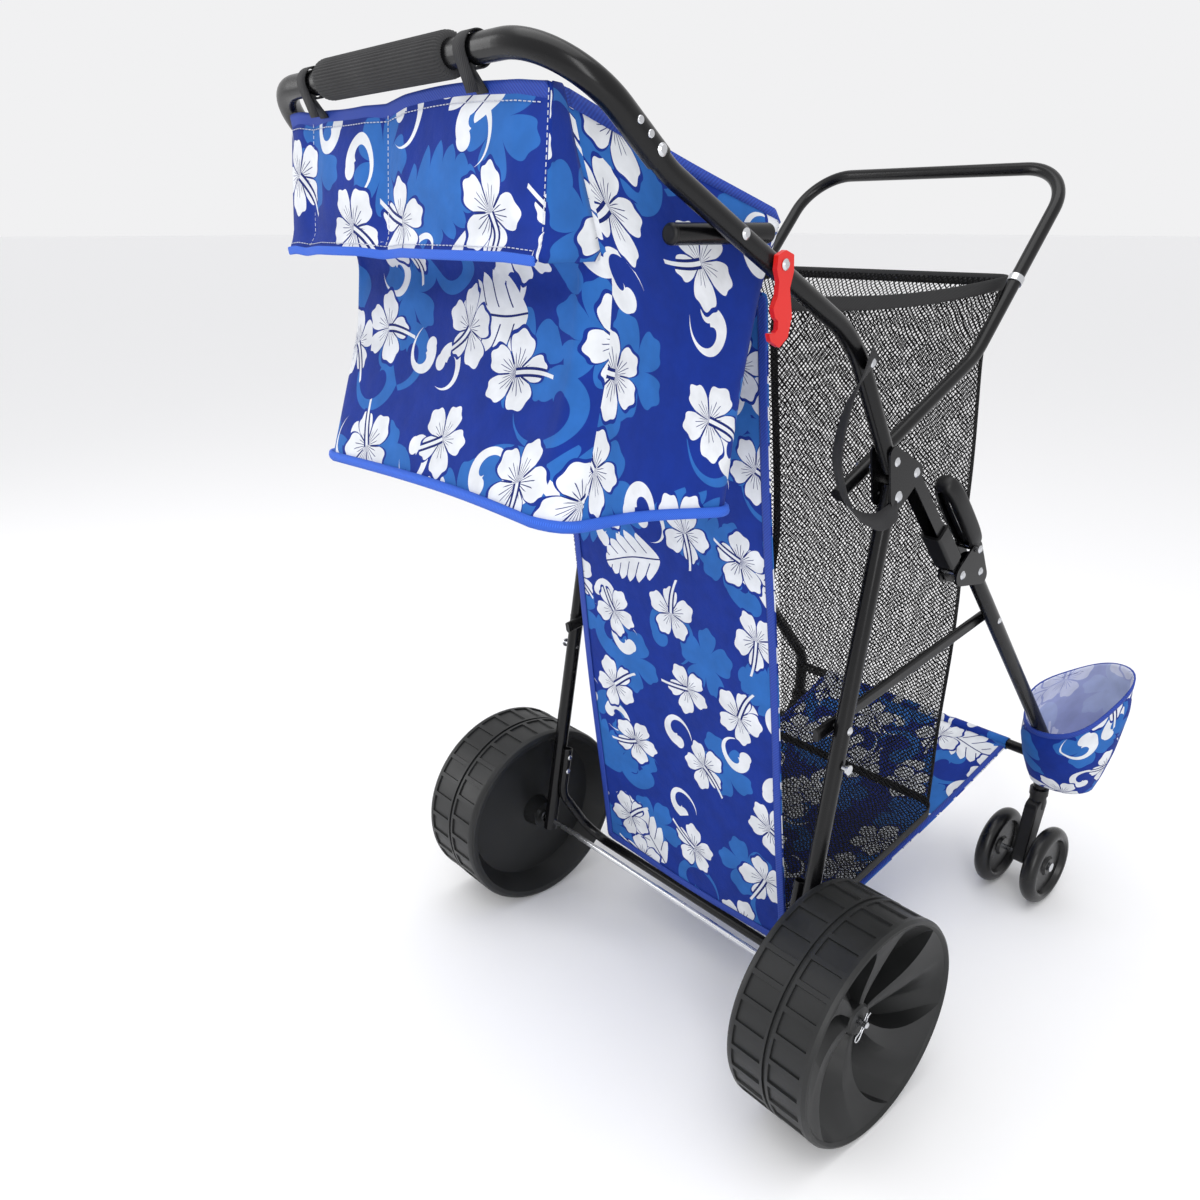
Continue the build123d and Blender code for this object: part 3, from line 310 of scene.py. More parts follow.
def printed_cloth(name, ground, middle, pale, ink_colour, roughness):
    """Coated polyester with a flower print: petals about 80 mm across on two blues."""
    made, tree, shader = plain(name, ground, roughness, IOR=1.46)
    shader.inputs["Sheen Weight"].default_value = 0.03
    shader.inputs["Specular IOR Level"].default_value = 0.22
    place = cloth_place(tree)
    sway = add(tree, "ShaderNodeTexNoise", place, None, 9.0, 1.0)
    place = add(tree, "ShaderNodeVectorMath", sway.outputs["Color"], (0.02,) * 3, place,
                operation="MULTIPLY_ADD").outputs[0]
    shadow_flower, _, _ = hibiscus(tree, place, 0.150, (0.31, 0.77, 0), 0.050, detail=False)
    shadow_leaf, _ = monstera(tree, place, 0.165, (0.9, 0.15, 0), 0.060)
    shadow_curl = scroll(tree, place, 0.120, (0.45, 0.2, 0), 0.046)
    curl = scroll(tree, place, 0.092, (0.1, 0.6, 0), 0.030)
    leaf, vein = monstera(tree, place, 0.205, (0.55, 0.35, 0), 0.052)
    flower, ink, halo = hibiscus(tree, place, 0.112, (0.2, 0.1, 0), 0.040)
    vein = add(tree, "ShaderNodeMath", leaf, vein, operation="MULTIPLY").outputs[0]
    ink = add(tree, "ShaderNodeMath", flower, ink, operation="MULTIPLY").outputs[0]
    colour = srgb(ground)
    for mask, paint in ((shadow_leaf, middle), (shadow_curl, middle), (shadow_flower, middle), (curl, pale),
                        (leaf, pale), (vein, ink_colour), (halo, ground), (flower, pale), (ink, ink_colour)):
        layer = add(tree, "ShaderNodeMix", mask, data_type="RGBA")
        if isinstance(colour, list):
            layer.inputs[6].default_value = colour
        else:
            tree.links.new(colour, layer.inputs[6])
        layer.inputs[7].default_value = srgb(paint)
        colour = layer.outputs[2]
    fade = add(tree, "ShaderNodeTexNoise", place, None, 40.0, 3.0)
    fading = add(tree, "ShaderNodeMapRange", fade.outputs[0], 0.3, 0.7, 0.88, 1.08)
    shaded = add(tree, "ShaderNodeVectorMath", colour, fading.outputs[0], operation="MULTIPLY")
    tree.links.new(shaded.outputs[0], shader.inputs["Base Color"])
    weave(tree, shader, 1.0, 0.06)
    return made


# Coated 210-denier polyester, printed on the outside.
print_out = printed_cloth("printed_polyester", "#0b2c86", "#2763ae", "#dadde2", "#0a1d66", 0.78)
# The uncoated back of the same cloth: the print shows through faintly, pale and greyed.
print_back = printed_cloth("printed_polyester_back", "#7b87c8", "#8fa3d6", "#c9cee6", "#7480c2", 0.7)
# The same cloth where it lines the pouch: washed out to a pale lilac.
pouch_back = printed_cloth("printed_polyester_lining", "#aab2dc", "#b4bfe2", "#d8dcf0", "#a4acd8", 0.72)


def tape(name, base, light, rib_mm):
    """Woven tape: ribs run across it, rib_mm apart. Each rib's crest is painted in the lighter colour and its
    trough in the darker one, a painted highlight and painted shade that follow the bump.
    """
    made, tree, shader = plain(name, base, 0.7)
    place = cloth_place(tree)
    ribs = add(tree, "ShaderNodeTexWave", place, bands_direction="DIAGONAL")
    ribs.inputs["Scale"].default_value = 1000 / (2 * pi * rib_mm) * 2.2
    # Painted highlight and shade: the colour runs from base in the rib troughs to light on the crests,
    # following the same ribs as the bump.
    shade = add(tree, "ShaderNodeMix", ribs.outputs["Fac"], data_type="RGBA")
    shade.inputs[6].default_value, shade.inputs[7].default_value = srgb(base), srgb(light)
    tree.links.new(shade.outputs[2], shader.inputs["Base Color"])
    bump = add(tree, "ShaderNodeBump", 0.7, 0.0003, None, ribs.outputs["Fac"])
    tree.links.new(bump.outputs[0], shader.inputs["Normal"])
    return made


# In each tape below, the second colour is a lighter copy of the first, painted on the rib crests as a
# highlight.
# Polypropylene webbing in a herringbone weave, ribs 1.6 mm apart.
webbing = tape("polypropylene_webbing", "#101012", "#202023", 1.6)
# Polyester binding tape, folded over the hems, ribs 1.2 mm apart.
blue_binding = tape("polyester_binding_blue", "#1c4fc0", "#2f6ad6", 1.2)
# The print's own cloth, turned over and stitched as a hem.
blue_hem = tape("turned_hem_blue", "#12308c", "#1d43a6", 2.0)
# Black grosgrain binding along the net's seams.
black_binding = tape("net_binding_black", "#0c0c0d", "#1a1a1c", 1.4)
# Cotton-wrapped sewing thread, off-white.
thread = tape("sewing_thread_white", "#cfd4e6", "#e8ebf4", 0.8)


def knotted_net(name, cell_mm, cord_mm, colour):
    """Raschel-knitted net: diamonds cell_mm across with cords cord_mm thick, thicker at the knots."""
    made, tree, shader = plain(name, colour, 0.75)
    place = cloth_place(tree, 1000.0)
    pull = add(tree, "ShaderNodeTexNoise", place, None, 0.03, 1.0)
    place = add(tree, "ShaderNodeVectorMath", pull.outputs["Color"], (9.0,) * 3, place,
                operation="MULTIPLY_ADD").outputs[0]
    turned = add(tree, "ShaderNodeVectorRotate", place, rotation_type="Z_AXIS")
    turned.inputs["Angle"].default_value = radians(45)
    split = add(tree, "ShaderNodeSeparateXYZ", turned.outputs[0])
    pitch = cell_mm * 0.7071
    first = add(tree, "ShaderNodeMath", split.outputs[0], pitch / 2, operation="PINGPONG").outputs[0]
    second = add(tree, "ShaderNodeMath", split.outputs[1], pitch / 2, operation="PINGPONG").outputs[0]
    nearest = add(tree, "ShaderNodeMath", first, second, operation="MINIMUM").outputs[0]
    knot = add(tree, "ShaderNodeMath", first, second, operation="ADD").outputs[0]
    cord = add(tree, "ShaderNodeMath", nearest, cord_mm / 2, operation="LESS_THAN").outputs[0]
    blob = add(tree, "ShaderNodeMath", knot, cord_mm * 0.95, operation="LESS_THAN").outputs[0]
    solid = add(tree, "ShaderNodeMath", cord, blob, operation="MAXIMUM").outputs[0]
    tree.links.new(solid, shader.inputs["Alpha"])
    shader.inputs["Specular IOR Level"].default_value = 0.12
    return made


# Black polyester net, cells 7 mm across.
net = knotted_net("knitted_polyester_net", 7.0, 1.5, "#040405")

floor_mat, floor_tree, floor_shader = plain("studio_floor", "#f8f8f9", 0.6)
bpy.ops.mesh.primitive_plane_add(size=200, location=(0, 0, 0))
studio_floor = bpy.context.object
studio_floor.name = "studio_floor"
studio_floor.data.materials.append(floor_mat)


# ---------------- mesh helpers ----------------
def surface(name, grid, materials, closed=False, thickness=0.0, smooth=1, tiles=None):
    """A cloth surface through a grid of points in millimetres, with the cloth's own flat coordinates."""
    points = np.array(grid, float) / 1000
    rows, columns = points.shape[:2]
    wrap = columns if closed else columns - 1
    faces = [((r + 1) * columns + c, (r + 1) * columns + (c + 1) % columns,
              r * columns + (c + 1) % columns, r * columns + c)
             for r in range(rows - 1) for c in range(wrap)]
    ring = np.concatenate([points, points[:, :1]], axis=1) if closed else points
    across = np.concatenate([np.zeros((rows, 1)),
                             np.cumsum(np.linalg.norm(np.diff(ring, axis=1), axis=2), axis=1)], axis=1)
    across = np.tile(across.mean(axis=0), (rows, 1)) * 0.5 + across * 0.5
    down = np.concatenate([np.zeros((1, ring.shape[1])),
                           np.cumsum(np.linalg.norm(np.diff(ring, axis=0), axis=2), axis=0)])
    mesh = bpy.data.meshes.new(name)
    mesh.from_pydata([tuple(p) for p in points.reshape(-1, 3)], [], faces)
    layer = mesh.uv_layers.new(name="cloth")
    shift = tiles or (0.0, 0.0)
    k = 0
    for r in range(rows - 1):
        for c in range(wrap):
            for rr, cc in ((r + 1, c), (r + 1, c + 1), (r, c + 1), (r, c)):
                layer.data[k].uv = (across[rr, cc] + shift[0], down[rr, cc] + shift[1])
                k += 1
    made = bpy.data.objects.new(name, mesh)
    scene.collection.objects.link(made)
    for material in materials:
        mesh.materials.append(material)
    mesh.polygons.foreach_set("use_smooth", [True] * len(mesh.polygons))
    if smooth:
        made.modifiers.new("subdivision", "SUBSURF").levels = smooth
        made.modifiers["subdivision"].render_levels = smooth
        made.modifiers["subdivision"].use_limit_surface = False
    if thickness:
        skin = made.modifiers.new("thickness", "SOLIDIFY")
        skin.thickness = thickness / 1000
        skin.offset = 0
        skin.material_offset = 1 if len(materials) > 1 else 0
    return made


def applied(piece):
    """The piece with its modifiers applied."""
    depsgraph = bpy.context.evaluated_depsgraph_get()
    mesh = bpy.data.meshes.new_from_object(piece.evaluated_get(depsgraph))
    piece.modifiers.clear()
    piece.data = mesh
    return piece


def ribbon(name, points, side, width, material, thickness=1.4, smooth=1):
    """A strip of tape through points in millimetres; side is the direction its width lies in, for each
    point or all."""
    line = np.array(points, float)
    sides = np.array(side, float)
    if sides.ndim == 1:
        sides = np.tile(sides, (len(line), 1))
    sides = sides / np.linalg.norm(sides, axis=1, keepdims=True)
    grid = np.stack([line - sides * width / 2, line, line + sides * width / 2], axis=1)
    return surface(name, grid, [material], thickness=thickness, smooth=smooth)


def smooth_line(points, count):
    """Points spread along a smooth curve through the given ones."""
    given = np.array(points, float)
    ends = np.vstack([2 * given[0] - given[1], given, 2 * given[-1] - given[-2]])
    out = []
    for k in np.linspace(0, len(given) - 1, count):
        i = min(int(k), len(given) - 2)
        t = k - i
        p0, p1, p2, p3 = ends[i:i + 4]
        out.append(0.5 * (2 * p1 + (p2 - p0) * t + (2 * p0 - 5 * p1 + 4 * p2 - p3) * t ** 2
                          + (3 * p1 - p0 - 3 * p2 + p3) * t ** 3))
    return np.array(out)


def level(table, height):
    """Reads a (height, value) table at a height."""
    heights, values = zip(*sorted(table))
    return float(np.interp(height, heights, values))


def stitches(name, points, lift, body, pitch=5.0, size=3.0, width=0.9, hide=thread):
    """A row of stitches: short thread segments along a line, lifted off the cloth."""
    line = np.array(points, float)
    steps = np.linalg.norm(np.diff(line, axis=0), axis=1)
    along = np.concatenate([[0], np.cumsum(steps)])
    lift = np.array(lift, float)
    verts, faces = [], []
    for start in np.arange(1.0, along[-1] - size, pitch):
        a, b = (np.array([np.interp(s, along, line[:, i]) for i in range(3)]) + lift
                for s in (start, start + size))
        run = (b - a) / max(np.linalg.norm(b - a), 1e-6)
        out = lift / np.linalg.norm(lift)
        side = np.cross(run, out) * width / 2
        base = len(verts)
        verts += [a - side, a + side, b + side, b - side]
        verts += [a - side * 0.5 + out * 0.5, a + side * 0.5 + out * 0.5, b + side * 0.5 + out * 0.5,
                  b - side * 0.5 + out * 0.5]
        for f in ((0, 1, 5, 4), (1, 2, 6, 5), (2, 3, 7, 6), (3, 0, 4, 7), (4, 5, 6, 7), (3, 2, 1, 0)):
            faces.append(tuple(base + i for i in f))
    mesh = bpy.data.meshes.new(name)
    mesh.from_pydata([tuple(np.array(v) / 1000) for v in verts], [], faces)
    mesh.uv_layers.new(name="cloth")
    mesh.materials.append(hide)
    made = bpy.data.objects.new(name, mesh)
    scene.collection.objects.link(made)
    return soft(made, body)


# ---------------- carried-over pieces ----------------
finishes = {
    "black_powder_coat": powder_coat, "bright_steel": zinc_plate, "black_moulding": moulded_pp,
    "wheel_moulding": moulded_pe, "caster_moulding": caster_pvc, "red_moulding": red_pp,
    "grip_foam": eva_foam, "webbing": webbing, "print_cloth": print_out, "net_cloth": net,
}
slot_of = {part["node"]: part["material_slot"] for part in frame["record"]["subparts"]}
for node_name, piece in frame["nodes"].items():
    piece.data.materials.clear()
    piece.data.materials.append(finishes[slot_of[node_name]])

def soft(piece, body, *nodes, slot="print_cloth"):
    """A cloth piece that stands for CAD nodes and rides on a body."""
    if nodes:
        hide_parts(*nodes)
    applied(piece)
    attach(piece, body)
    if body == "root":
        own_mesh(piece)
    elif body == "push_frame" and slot == "print_cloth":
        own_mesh(piece)
    return piece


# ---------------- back panel ----------------
def back_point(across, down):
    """A point of the panel behind the net: across -1 to 1, down 0 at the top hem to 1 at the lower bar."""
    y, z = -45 + 111 * down, 940 - 828 * down
    taut = sin(pi * down)
    wave = 3.2 * sin(5.1 * across + 3.0 * down) * taut + 2.2 * sin(11 * down + 2.3 * across)
    pulled = 4.0 * taut * (1 - across ** 2)
    return (176 * across * (1 - 0.012 * taut), y - 2 + wave * 0.6 + pulled, z - 1.5 * cos(3 * across))


back_grid = [[back_point(a, d) for a in np.linspace(-1, 1, 30)] for d in np.linspace(0, 1, 60)]
back = soft(surface("back_panel_cloth", back_grid, [print_out, print_back], thickness=0.9,
                    tiles=(0.03, 0.05)),
            "root", "back_panel")
for side, edge in (("right", 1), ("left", -1)):
    line = [np.array(back_point(edge * 0.965, d)) + (0, -1.6, 0) for d in np.linspace(0.004, 0.996, 50)]
    soft(ribbon(f"back_hem_{side}", line, (1, 0, 0), 11, blue_hem, 1.0), "root")
low_line = [np.array(back_point(a, 0.992)) + (0, -1.5, 0) for a in np.linspace(-0.99, 0.99, 24)]
soft(ribbon("back_hem_low", low_line, (0, -0.13, 1), 12, blue_hem, 1.0), "root")


# ---------------- floor panel ----------------
def floor_point(across, forward):
    """A point of the sling between the lower bar and the front crossbar."""
    y = 70 + 523 * forward
    z = 106.5 + 120 * forward - 34 * sin(pi * forward) * (1 - 0.35 * across ** 2)
    narrow = 1 - 0.05 * sin(pi * forward)
    wave = 2.5 * sin(7 * across + 4 * forward) * sin(pi * forward)
    return (180 * across * narrow, y, z + wave)


floor_grid = [[floor_point(a, f) for a in np.linspace(-1, 1, 30)] for f in np.linspace(0, 1, 44)]
sling = soft(surface("floor_panel_cloth", floor_grid, [print_out], thickness=0.9, tiles=(0.4, 0.3)),
             "root", "floor_panel")
for side, edge in (("right", 1), ("left", -1)):
    line = [floor_point(edge * 0.97, f) for f in np.linspace(0.01, 0.99, 44)]
    soft(ribbon(f"floor_hem_{side}", line, (1, 0, 0.02 * edge), 8, blue_hem, 3.4,
                                  smooth=0), "root")
# The sleeve that wraps the front crossbar.
sleeve_grid = [[(x, 603 + 9.3 * cos(a), 225 + 9.3 * sin(a)) for a in np.linspace(0, tau, 20, endpoint=False)]
               for x in np.linspace(-176, 176, 12)]
sleeve = soft(surface("floor_panel_sleeve", sleeve_grid, [print_out], closed=True, thickness=0.9, smooth=0),
              "front_frame")


# ---------------- net bag ----------------
front_edge = [(944, 415), (900, 396), (856, 385), (700, 402), (528, 415), (420, 408), (305, 398), (209, 389),
              (150, 383)]
side_edge = [(944, 184), (856, 181), (700, 178), (528, 176), (305, 178), (209, 182), (110, 184)]


def net_ring(share):
    """One level of the net bag: from the back panel's right hem round the front to its left hem."""
    ring = []
    rear = np.array((176, -42 + 106 * share, 938 - 822 * share))
    front_z = 944 - 752 * share
    y1, x1 = level(front_edge, front_z), level(side_edge, front_z)
    corner = 26
    outline = [(176, rear[1])]
    outline += [(x1 + (176 - x1) * (1 - t) ** 3, rear[1] + (y1 - corner - rear[1]) * t)
                for t in np.linspace(0.06, 1, 16)]
    outline += [(x1 - corner * (1 - cos(a)), y1 - corner * (1 - sin(a)))
                for a in np.linspace(0.25, pi / 2, 6)]
    half = outline + [(x, y1) for x in np.linspace(x1 - corner, 0, 10)[1:]]
    full = half + [(-x, y) for x, y in half[-2::-1]]
    span = y1 - rear[1]
    for index, (x, y) in enumerate(full):
        f = (y - rear[1]) / span
        z = rear[2] + (front_z - rear[2]) * f
        sway = sin(pi * share) * (2.4 * sin(9 * f + 5 * share) + 2.0 * sin(17 * share + 3 * f))
        if share < 0.05:
            z -= 12 * (1 - share / 0.05) * sin(pi * f) * (abs(x) > 150)
        ring.append((x + sway * np.sign(x) * 0.6, y + 0.8 * sway * (abs(x) < 160), z))
    return ring


net_grid = [net_ring(s) for s in np.linspace(0, 1, 46)]
net_walls = soft(surface("net_bag_walls", net_grid, [net], smooth=1), "root", "mesh_bag", slot="net_cloth")
low_ring = np.array(net_ring(1.0))
half_count = len(low_ring) // 2
bottom_grid = []
for t in np.linspace(0, 1, 14):
    row = []
    for i in range(half_count + 1):
        right, left = low_ring[i], low_ring[-1 - i]
        p = right * (1 - t) + left * t
        row.append(p + (0, 0, -10 * sin(pi * t) * sin(pi * i / half_count)))
    bottom_grid.append(row)
net_bottom = soft(surface("net_bag_bottom", bottom_grid, [net], smooth=1), "root", slot="net_cloth")
# Bindings: round the rim, along the foot and down the front corners.
bindings = []
for label, share, width in (("rim", 0.008, 15), ("foot", 0.988, 13)):
    line = np.array(net_ring(share)) * (1.004, 1.004, 1)
    bindings.append(ribbon(f"net_binding_{label}", line, (0, 0.05, 1), width, black_binding, 1.6))
for side, index in (("right", 20), ("left", -21)):
    line = np.array([net_ring(s)[index] for s in np.linspace(0.01, 0.99, 40)]) * (1.006, 1.004, 1)
    bindings.append(ribbon(f"net_binding_corner_{side}", line, (0.7 * np.sign(line[0][0]), -0.7, 0), 11,
                           black_binding, 1.6))
for binding in bindings:
    soft(binding, "root", slot="net_cloth")


# ---------------- storage bag ----------------
rear_line = [(1108, -331), (1060, -318), (1000, -298), (965, -288), (900, -296), (830, -318), (766, -338)]
front_line = [(1036, -94), (1003, -50), (940, -70), (850, -88), (739, -108)]
bag_levels = np.linspace(0, 1, 34)
bag_half = 199


def bag_ring(share, shrink=0.0):
    """One level of the storage bag, from its rim at 0 to its foot at 1, as a closed ring."""
    rear_z, front_z = 1100 - 334 * share, 1010 - 268 * share
    y0, y1 = level(rear_line, rear_z) + shrink, level(front_line, front_z) - shrink
    half = bag_half + 5 * share - shrink - 4 * sin(pi * share)
    corner = 16 + 16 * share
    ring = []
    right = [(half, y0 + corner + (y1 - y0 - 2 * corner) * t) for t in np.linspace(0, 1, 15)]
    right += [(half - corner + corner * cos(a), y1 - corner + corner * sin(a))
              for a in np.linspace(0, pi / 2, 6)[1:-1]]
    front = [(x, y1) for x in np.linspace(half - corner, -half + corner, 16)]
    left = [(-x, y) for x, y in right[::-1]]
    rear_left = [(-half + corner - corner * cos(a), y0 + corner - corner * sin(a))
                 for a in np.linspace(0, pi / 2, 6)[1:-1]]
    rear = [(x, y0) for x in np.linspace(-half + corner, half - corner, 22)]
    rear_right = [(-x, y) for x, y in rear_left[::-1]]
    for x, y in right + front + left + rear_left + rear + rear_right:
        f = (y - y0) / (y1 - y0)
        z = rear_z + (front_z - rear_z) * f
        side_on = abs(x) > half - 3
        tuck = -15 * sin(pi * f) ** 2 * (0.35 + 0.65 * share) * side_on * np.sign(x)
        crease = 5 * np.exp(-((share - 0.42) / 0.05) ** 2)
        drape = 3.0 * sin(3.2 * x / 100 + 4 * share) * sin(pi * share) + 2.0 * sin(7 * share + x / 60)
        push = (crease + drape) * (y <= y0 + 1) - drape * (y >= y1 - 1)
        sag = -7 * (x / half) ** 2 * (share - 0.5) + 6 * share * cos(pi * x / (2 * half))
        ring.append((x + tuck, y + push, z + sag * 0.6))
    return ring


bag = surface("storage_bag_cloth", [bag_ring(s) for s in bag_levels], [print_out, print_back], closed=True,
              thickness=1.0, tiles=(0.1, 0.02))
soft(bag, "push_frame", "storage_bag")
foot = np.array(bag_ring(1.0))
middle = foot.mean(axis=0) + (0, 0, -7)
base_grid = [foot * (1 - t) + middle * t + np.array((0, 0, -4 * sin(pi * t)))
             for t in (0, 0.15, 0.4, 0.7, 0.9, 0.99)]
base = soft(surface("storage_bag_base", base_grid, [print_out, print_back], closed=True, thickness=1.0),
            "push_frame")
centre = foot.mean(axis=0)
pipe_grid = []
for p in foot * (1.004, 1.0, 1) + (0, 0, 1):
    out = np.array((p[0] - centre[0], p[1] - centre[1], 0))
    out /= np.linalg.norm(out)
    pipe_grid.append([p + out * (1.5 + 4.2 * cos(a)) + np.array((0, 0, 5.4 * sin(a)))
                      for a in np.linspace(0, tau, 10, endpoint=False)])
pipe_grid.append(pipe_grid[0])
soft(surface("storage_bag_piping", pipe_grid, [blue_binding], closed=True, smooth=0),
                  "push_frame")
rim_grid = []
for p, q in zip(bag_ring(0.0), bag_ring(0.035)):
    rim_grid.append([np.array(p) + (0, 0, 1.2), np.array(q)])
rim_grid.append(rim_grid[0])
soft(surface("storage_bag_rim", rim_grid, [blue_hem], thickness=2.6, smooth=0), "push_frame")

# ---------------- rear pocket ----------------
dividers = (-160.0, -18.0, 206.0)
pocket_half = 207.0


def pocket_point(across, down):
    """A point of the pocket panel: across 0 to 1 from the left, down 0 at its hem to 1 at its flared foot."""
    x = pocket_half * (2 * across - 1)
    nearest = min(abs(x - d) for d in dividers + (-pocket_half,))
    full = min(1.0, nearest / 34)
    bulge = 9 * full ** 0.8 * sin(pi * min(1, down * 0.9 + 0.05))
    wave = 2.6 * sin(x / 26 + 2 * down) * (0.3 + 0.7 * down)
    flare = 13 * max(0.0, down - 0.86) / 0.14
    y = -335 - 11 * down - bulge - flare * (0.4 + 0.6 * abs(sin(x / 70))) + wave * 0.6
    z = 1106 - 128 * down - 2.5 * (1 - full) + 3 * sin(x / 47) * (1 - down)
    return (x * (1 + 0.01 * down), y, z)


pocket_grid = [[pocket_point(a, d) for a in np.linspace(0, 1, 60)] for d in np.linspace(0, 1, 26)]
pocket = surface("rear_pocket_cloth", pocket_grid, [print_out, print_back], thickness=0.9, tiles=(0.22, 0.6))
soft(pocket, "push_frame", "bag_pocket")
for label, d, width, finish in (("top", 0.05, 12, blue_hem), ("foot", 0.985, 8, blue_binding)):
    line = [np.array(pocket_point(a, d)) + (0, -1.3, 0) for a in np.linspace(0.003, 0.997, 60)]
    soft(ribbon(f"pocket_hem_{label}", line, (0, -0.15, 1), width, finish, 1.3),
                             "push_frame")
for label, d in (("top", 0.115), ("foot", 0.93)):
    line = [pocket_point(a, d) for a in np.linspace(0.01, 0.99, 80)]
    stitches(f"pocket_stitches_{label}", line, (0, -1.4, 0), "push_frame")
for index, x in enumerate(dividers):
    line = [pocket_point((x / pocket_half + 1) / 2, d) for d in np.linspace(0.03, 0.95, 24)]
    stitches(f"pocket_stitches_divider_{index}", line, (0, -1.2, 0), "push_frame")
# The cloth between the pocket's ends and the bag behind it.
for side, across in (("right", 1.0), ("left", 0.0)):
    grid = []
    for d in np.linspace(0, 1, 12):
        outer = np.array(pocket_point(across, d))
        z = outer[2]
        inner = np.array((bag_half * np.sign(outer[0]), level(rear_line, z) + 12, z))
        grid.append([outer * (1 - t) + inner * t for t in np.linspace(0, 1, 5)])
    end = surface(f"pocket_end_{side}", grid, [print_out, print_back], thickness=0.9, tiles=(0.7, 0.1))
    soft(end, "push_frame")

# Loops that hold the bag to the handle bar, whose middle lies at bar_y, bar_z.
bar_y, bar_z = -348, 1127.3
for side, x in (("right", 130), ("left", -130)):
    line = [(x, bar_y + 13.2 * cos(a), bar_z + 13.2 * sin(a))
            for a in np.linspace(radians(-120), radians(210), 26)]
    line = [(x, -340, 1098)] + line + [(x, -350, 1098)]
    loop = ribbon(f"bag_loop_{side}", smooth_line(line, 48), (1, 0, 0), 15, webbing, 1.2, smooth=0)
    soft(loop, "push_frame", *(("bag_loops",) if side == "right" else ()), slot="webbing")


# ---------------- umbrella pouch ----------------
pouch_x, pouch_y = 262, 616


def pouch_ring(share, inset=0.0):
    """One level of the pouch, from its tilted rim at 0 to its foot at 1."""
    ring = []
    for a in np.linspace(0, tau, 48, endpoint=False):
        radius = level([(0, 69), (0.25, 71), (0.6, 62), (0.85, 52), (1, 44)], share) - inset
        radius *= 1 + 0.035 * sin(3 * a + 2 * share) + 0.02 * sin(5 * a)
        x, y = pouch_x + radius * cos(a), pouch_y + radius * sin(a)
        rim_z = 335 + 0.53 * (y - pouch_y) + 0.35 * (x - pouch_x) + 5 * sin(2 * a + 0.5)
        z = rim_z + (193 - rim_z) * share
        ring.append((x, y, z))
    return ring


pouch = surface("umbrella_pouch_cloth", [pouch_ring(s) for s in np.linspace(0, 1, 24)],
                [print_out, pouch_back],
                closed=True, thickness=1.4, tiles=(0.5, 0.8))
soft(pouch, "front_frame", "umbrella_boot")
foot_ring = np.array(pouch_ring(1.0))
foot_mid = np.array((pouch_x, pouch_y, 189.0))
foot_grid = [foot_ring * (1 - t) + foot_mid * t for t in (0, 0.1, 0.4, 0.75, 0.97)]
pouch_foot = soft(surface("umbrella_pouch_foot", foot_grid, [print_out, pouch_back], closed=True,
                          thickness=1.2),
                  "front_frame")
rim_line = np.array(pouch_ring(0.0) + pouch_ring(0.0)[:1])
out_of_rim = np.array([(x - pouch_x, y - pouch_y, 0) for x, y, z in rim_line]) / 70
pouch_rim = ribbon("umbrella_pouch_rim", rim_line + out_of_rim + (0, 0, -3), (0, 0, 1), 8, blue_hem, 2.4,
                   smooth=0)
soft(pouch_rim, "front_frame")


# ---------------- tie strap ----------------
strap_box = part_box("tie_strap")
strap_low, strap_high = np.array(strap_box[0]) * 1000, np.array(strap_box[1]) * 1000
rivet_y, rivet_z = strap_high[1] - 78, strap_high[2] - 12
strap_route = [(0, 4, 6), (2, -18, -16), (5, -42, -42), (8, -57, -92), (7, -30, -142), (4, 8, -164),
               (0, 42, -172), (-2, 72, -164)]
strap_line = smooth_line([(strap_high[0] + x, rivet_y + y, rivet_z + z) for x, y, z in strap_route], 70)
strap_sides = []
for index, step in enumerate(np.gradient(strap_line, axis=0)):
    share = index / 69
    in_plane = np.cross(step / np.linalg.norm(step), (1, 0, 0))
    twist = radians(62) * sin(pi * share) ** 0.7
    strap_sides.append(in_plane * cos(twist) + np.array((1, 0, 0)) * sin(twist))
strap = ribbon("tie_strap_webbing", strap_line, strap_sides, 21, webbing, 1.6, smooth=0)
soft(strap, "push_frame", "tie_strap", slot="webbing")


# ---------------- foam grip ----------------
def grip_ring(x, swell):
    """One section of the grip: 40 fine ribs run along it."""
    ribbed = [(a, swell + 0.55 * cos(40 * a)) for a in np.linspace(0, tau, 320, endpoint=False)]
    return [(x, bar_y + r * cos(a), bar_z + r * sin(a)) for a, r in ribbed]


grip_stations = [(-102.5, 11.3), (-102.5, 14.5), (-101, 16.2), (-97, 17.0), (97, 17.0), (101, 16.2),
                 (102.5, 14.5), (102.5, 11.3)]
grip = surface("foam_grip_ribbed", [grip_ring(x, r) for x, r in grip_stations], [eva_foam], closed=True,
               smooth=0)
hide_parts("foam_grip")
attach(grip, "push_frame")


# ---------------- rear wheels ----------------
wheel_inner, wheel_outer, tread_r = 250.5, 363.5, 140.0


def polar(name, rings, material, side):
    """A closed skin of rings of (x, radius, angle) round the wheel's axle, in millimetres."""
    grid = [[(side * x, r * cos(a), tread_r + r * sin(a)) for x, r, a in ring] for ring in rings]
    if side < 0:
        grid = [row[::-1] for row in grid]
    made = surface(name, grid, [material], closed=True, smooth=0)
    sharp = made.modifiers.new("edges", "EDGE_SPLIT")
    sharp.split_angle = radians(28)
    return made


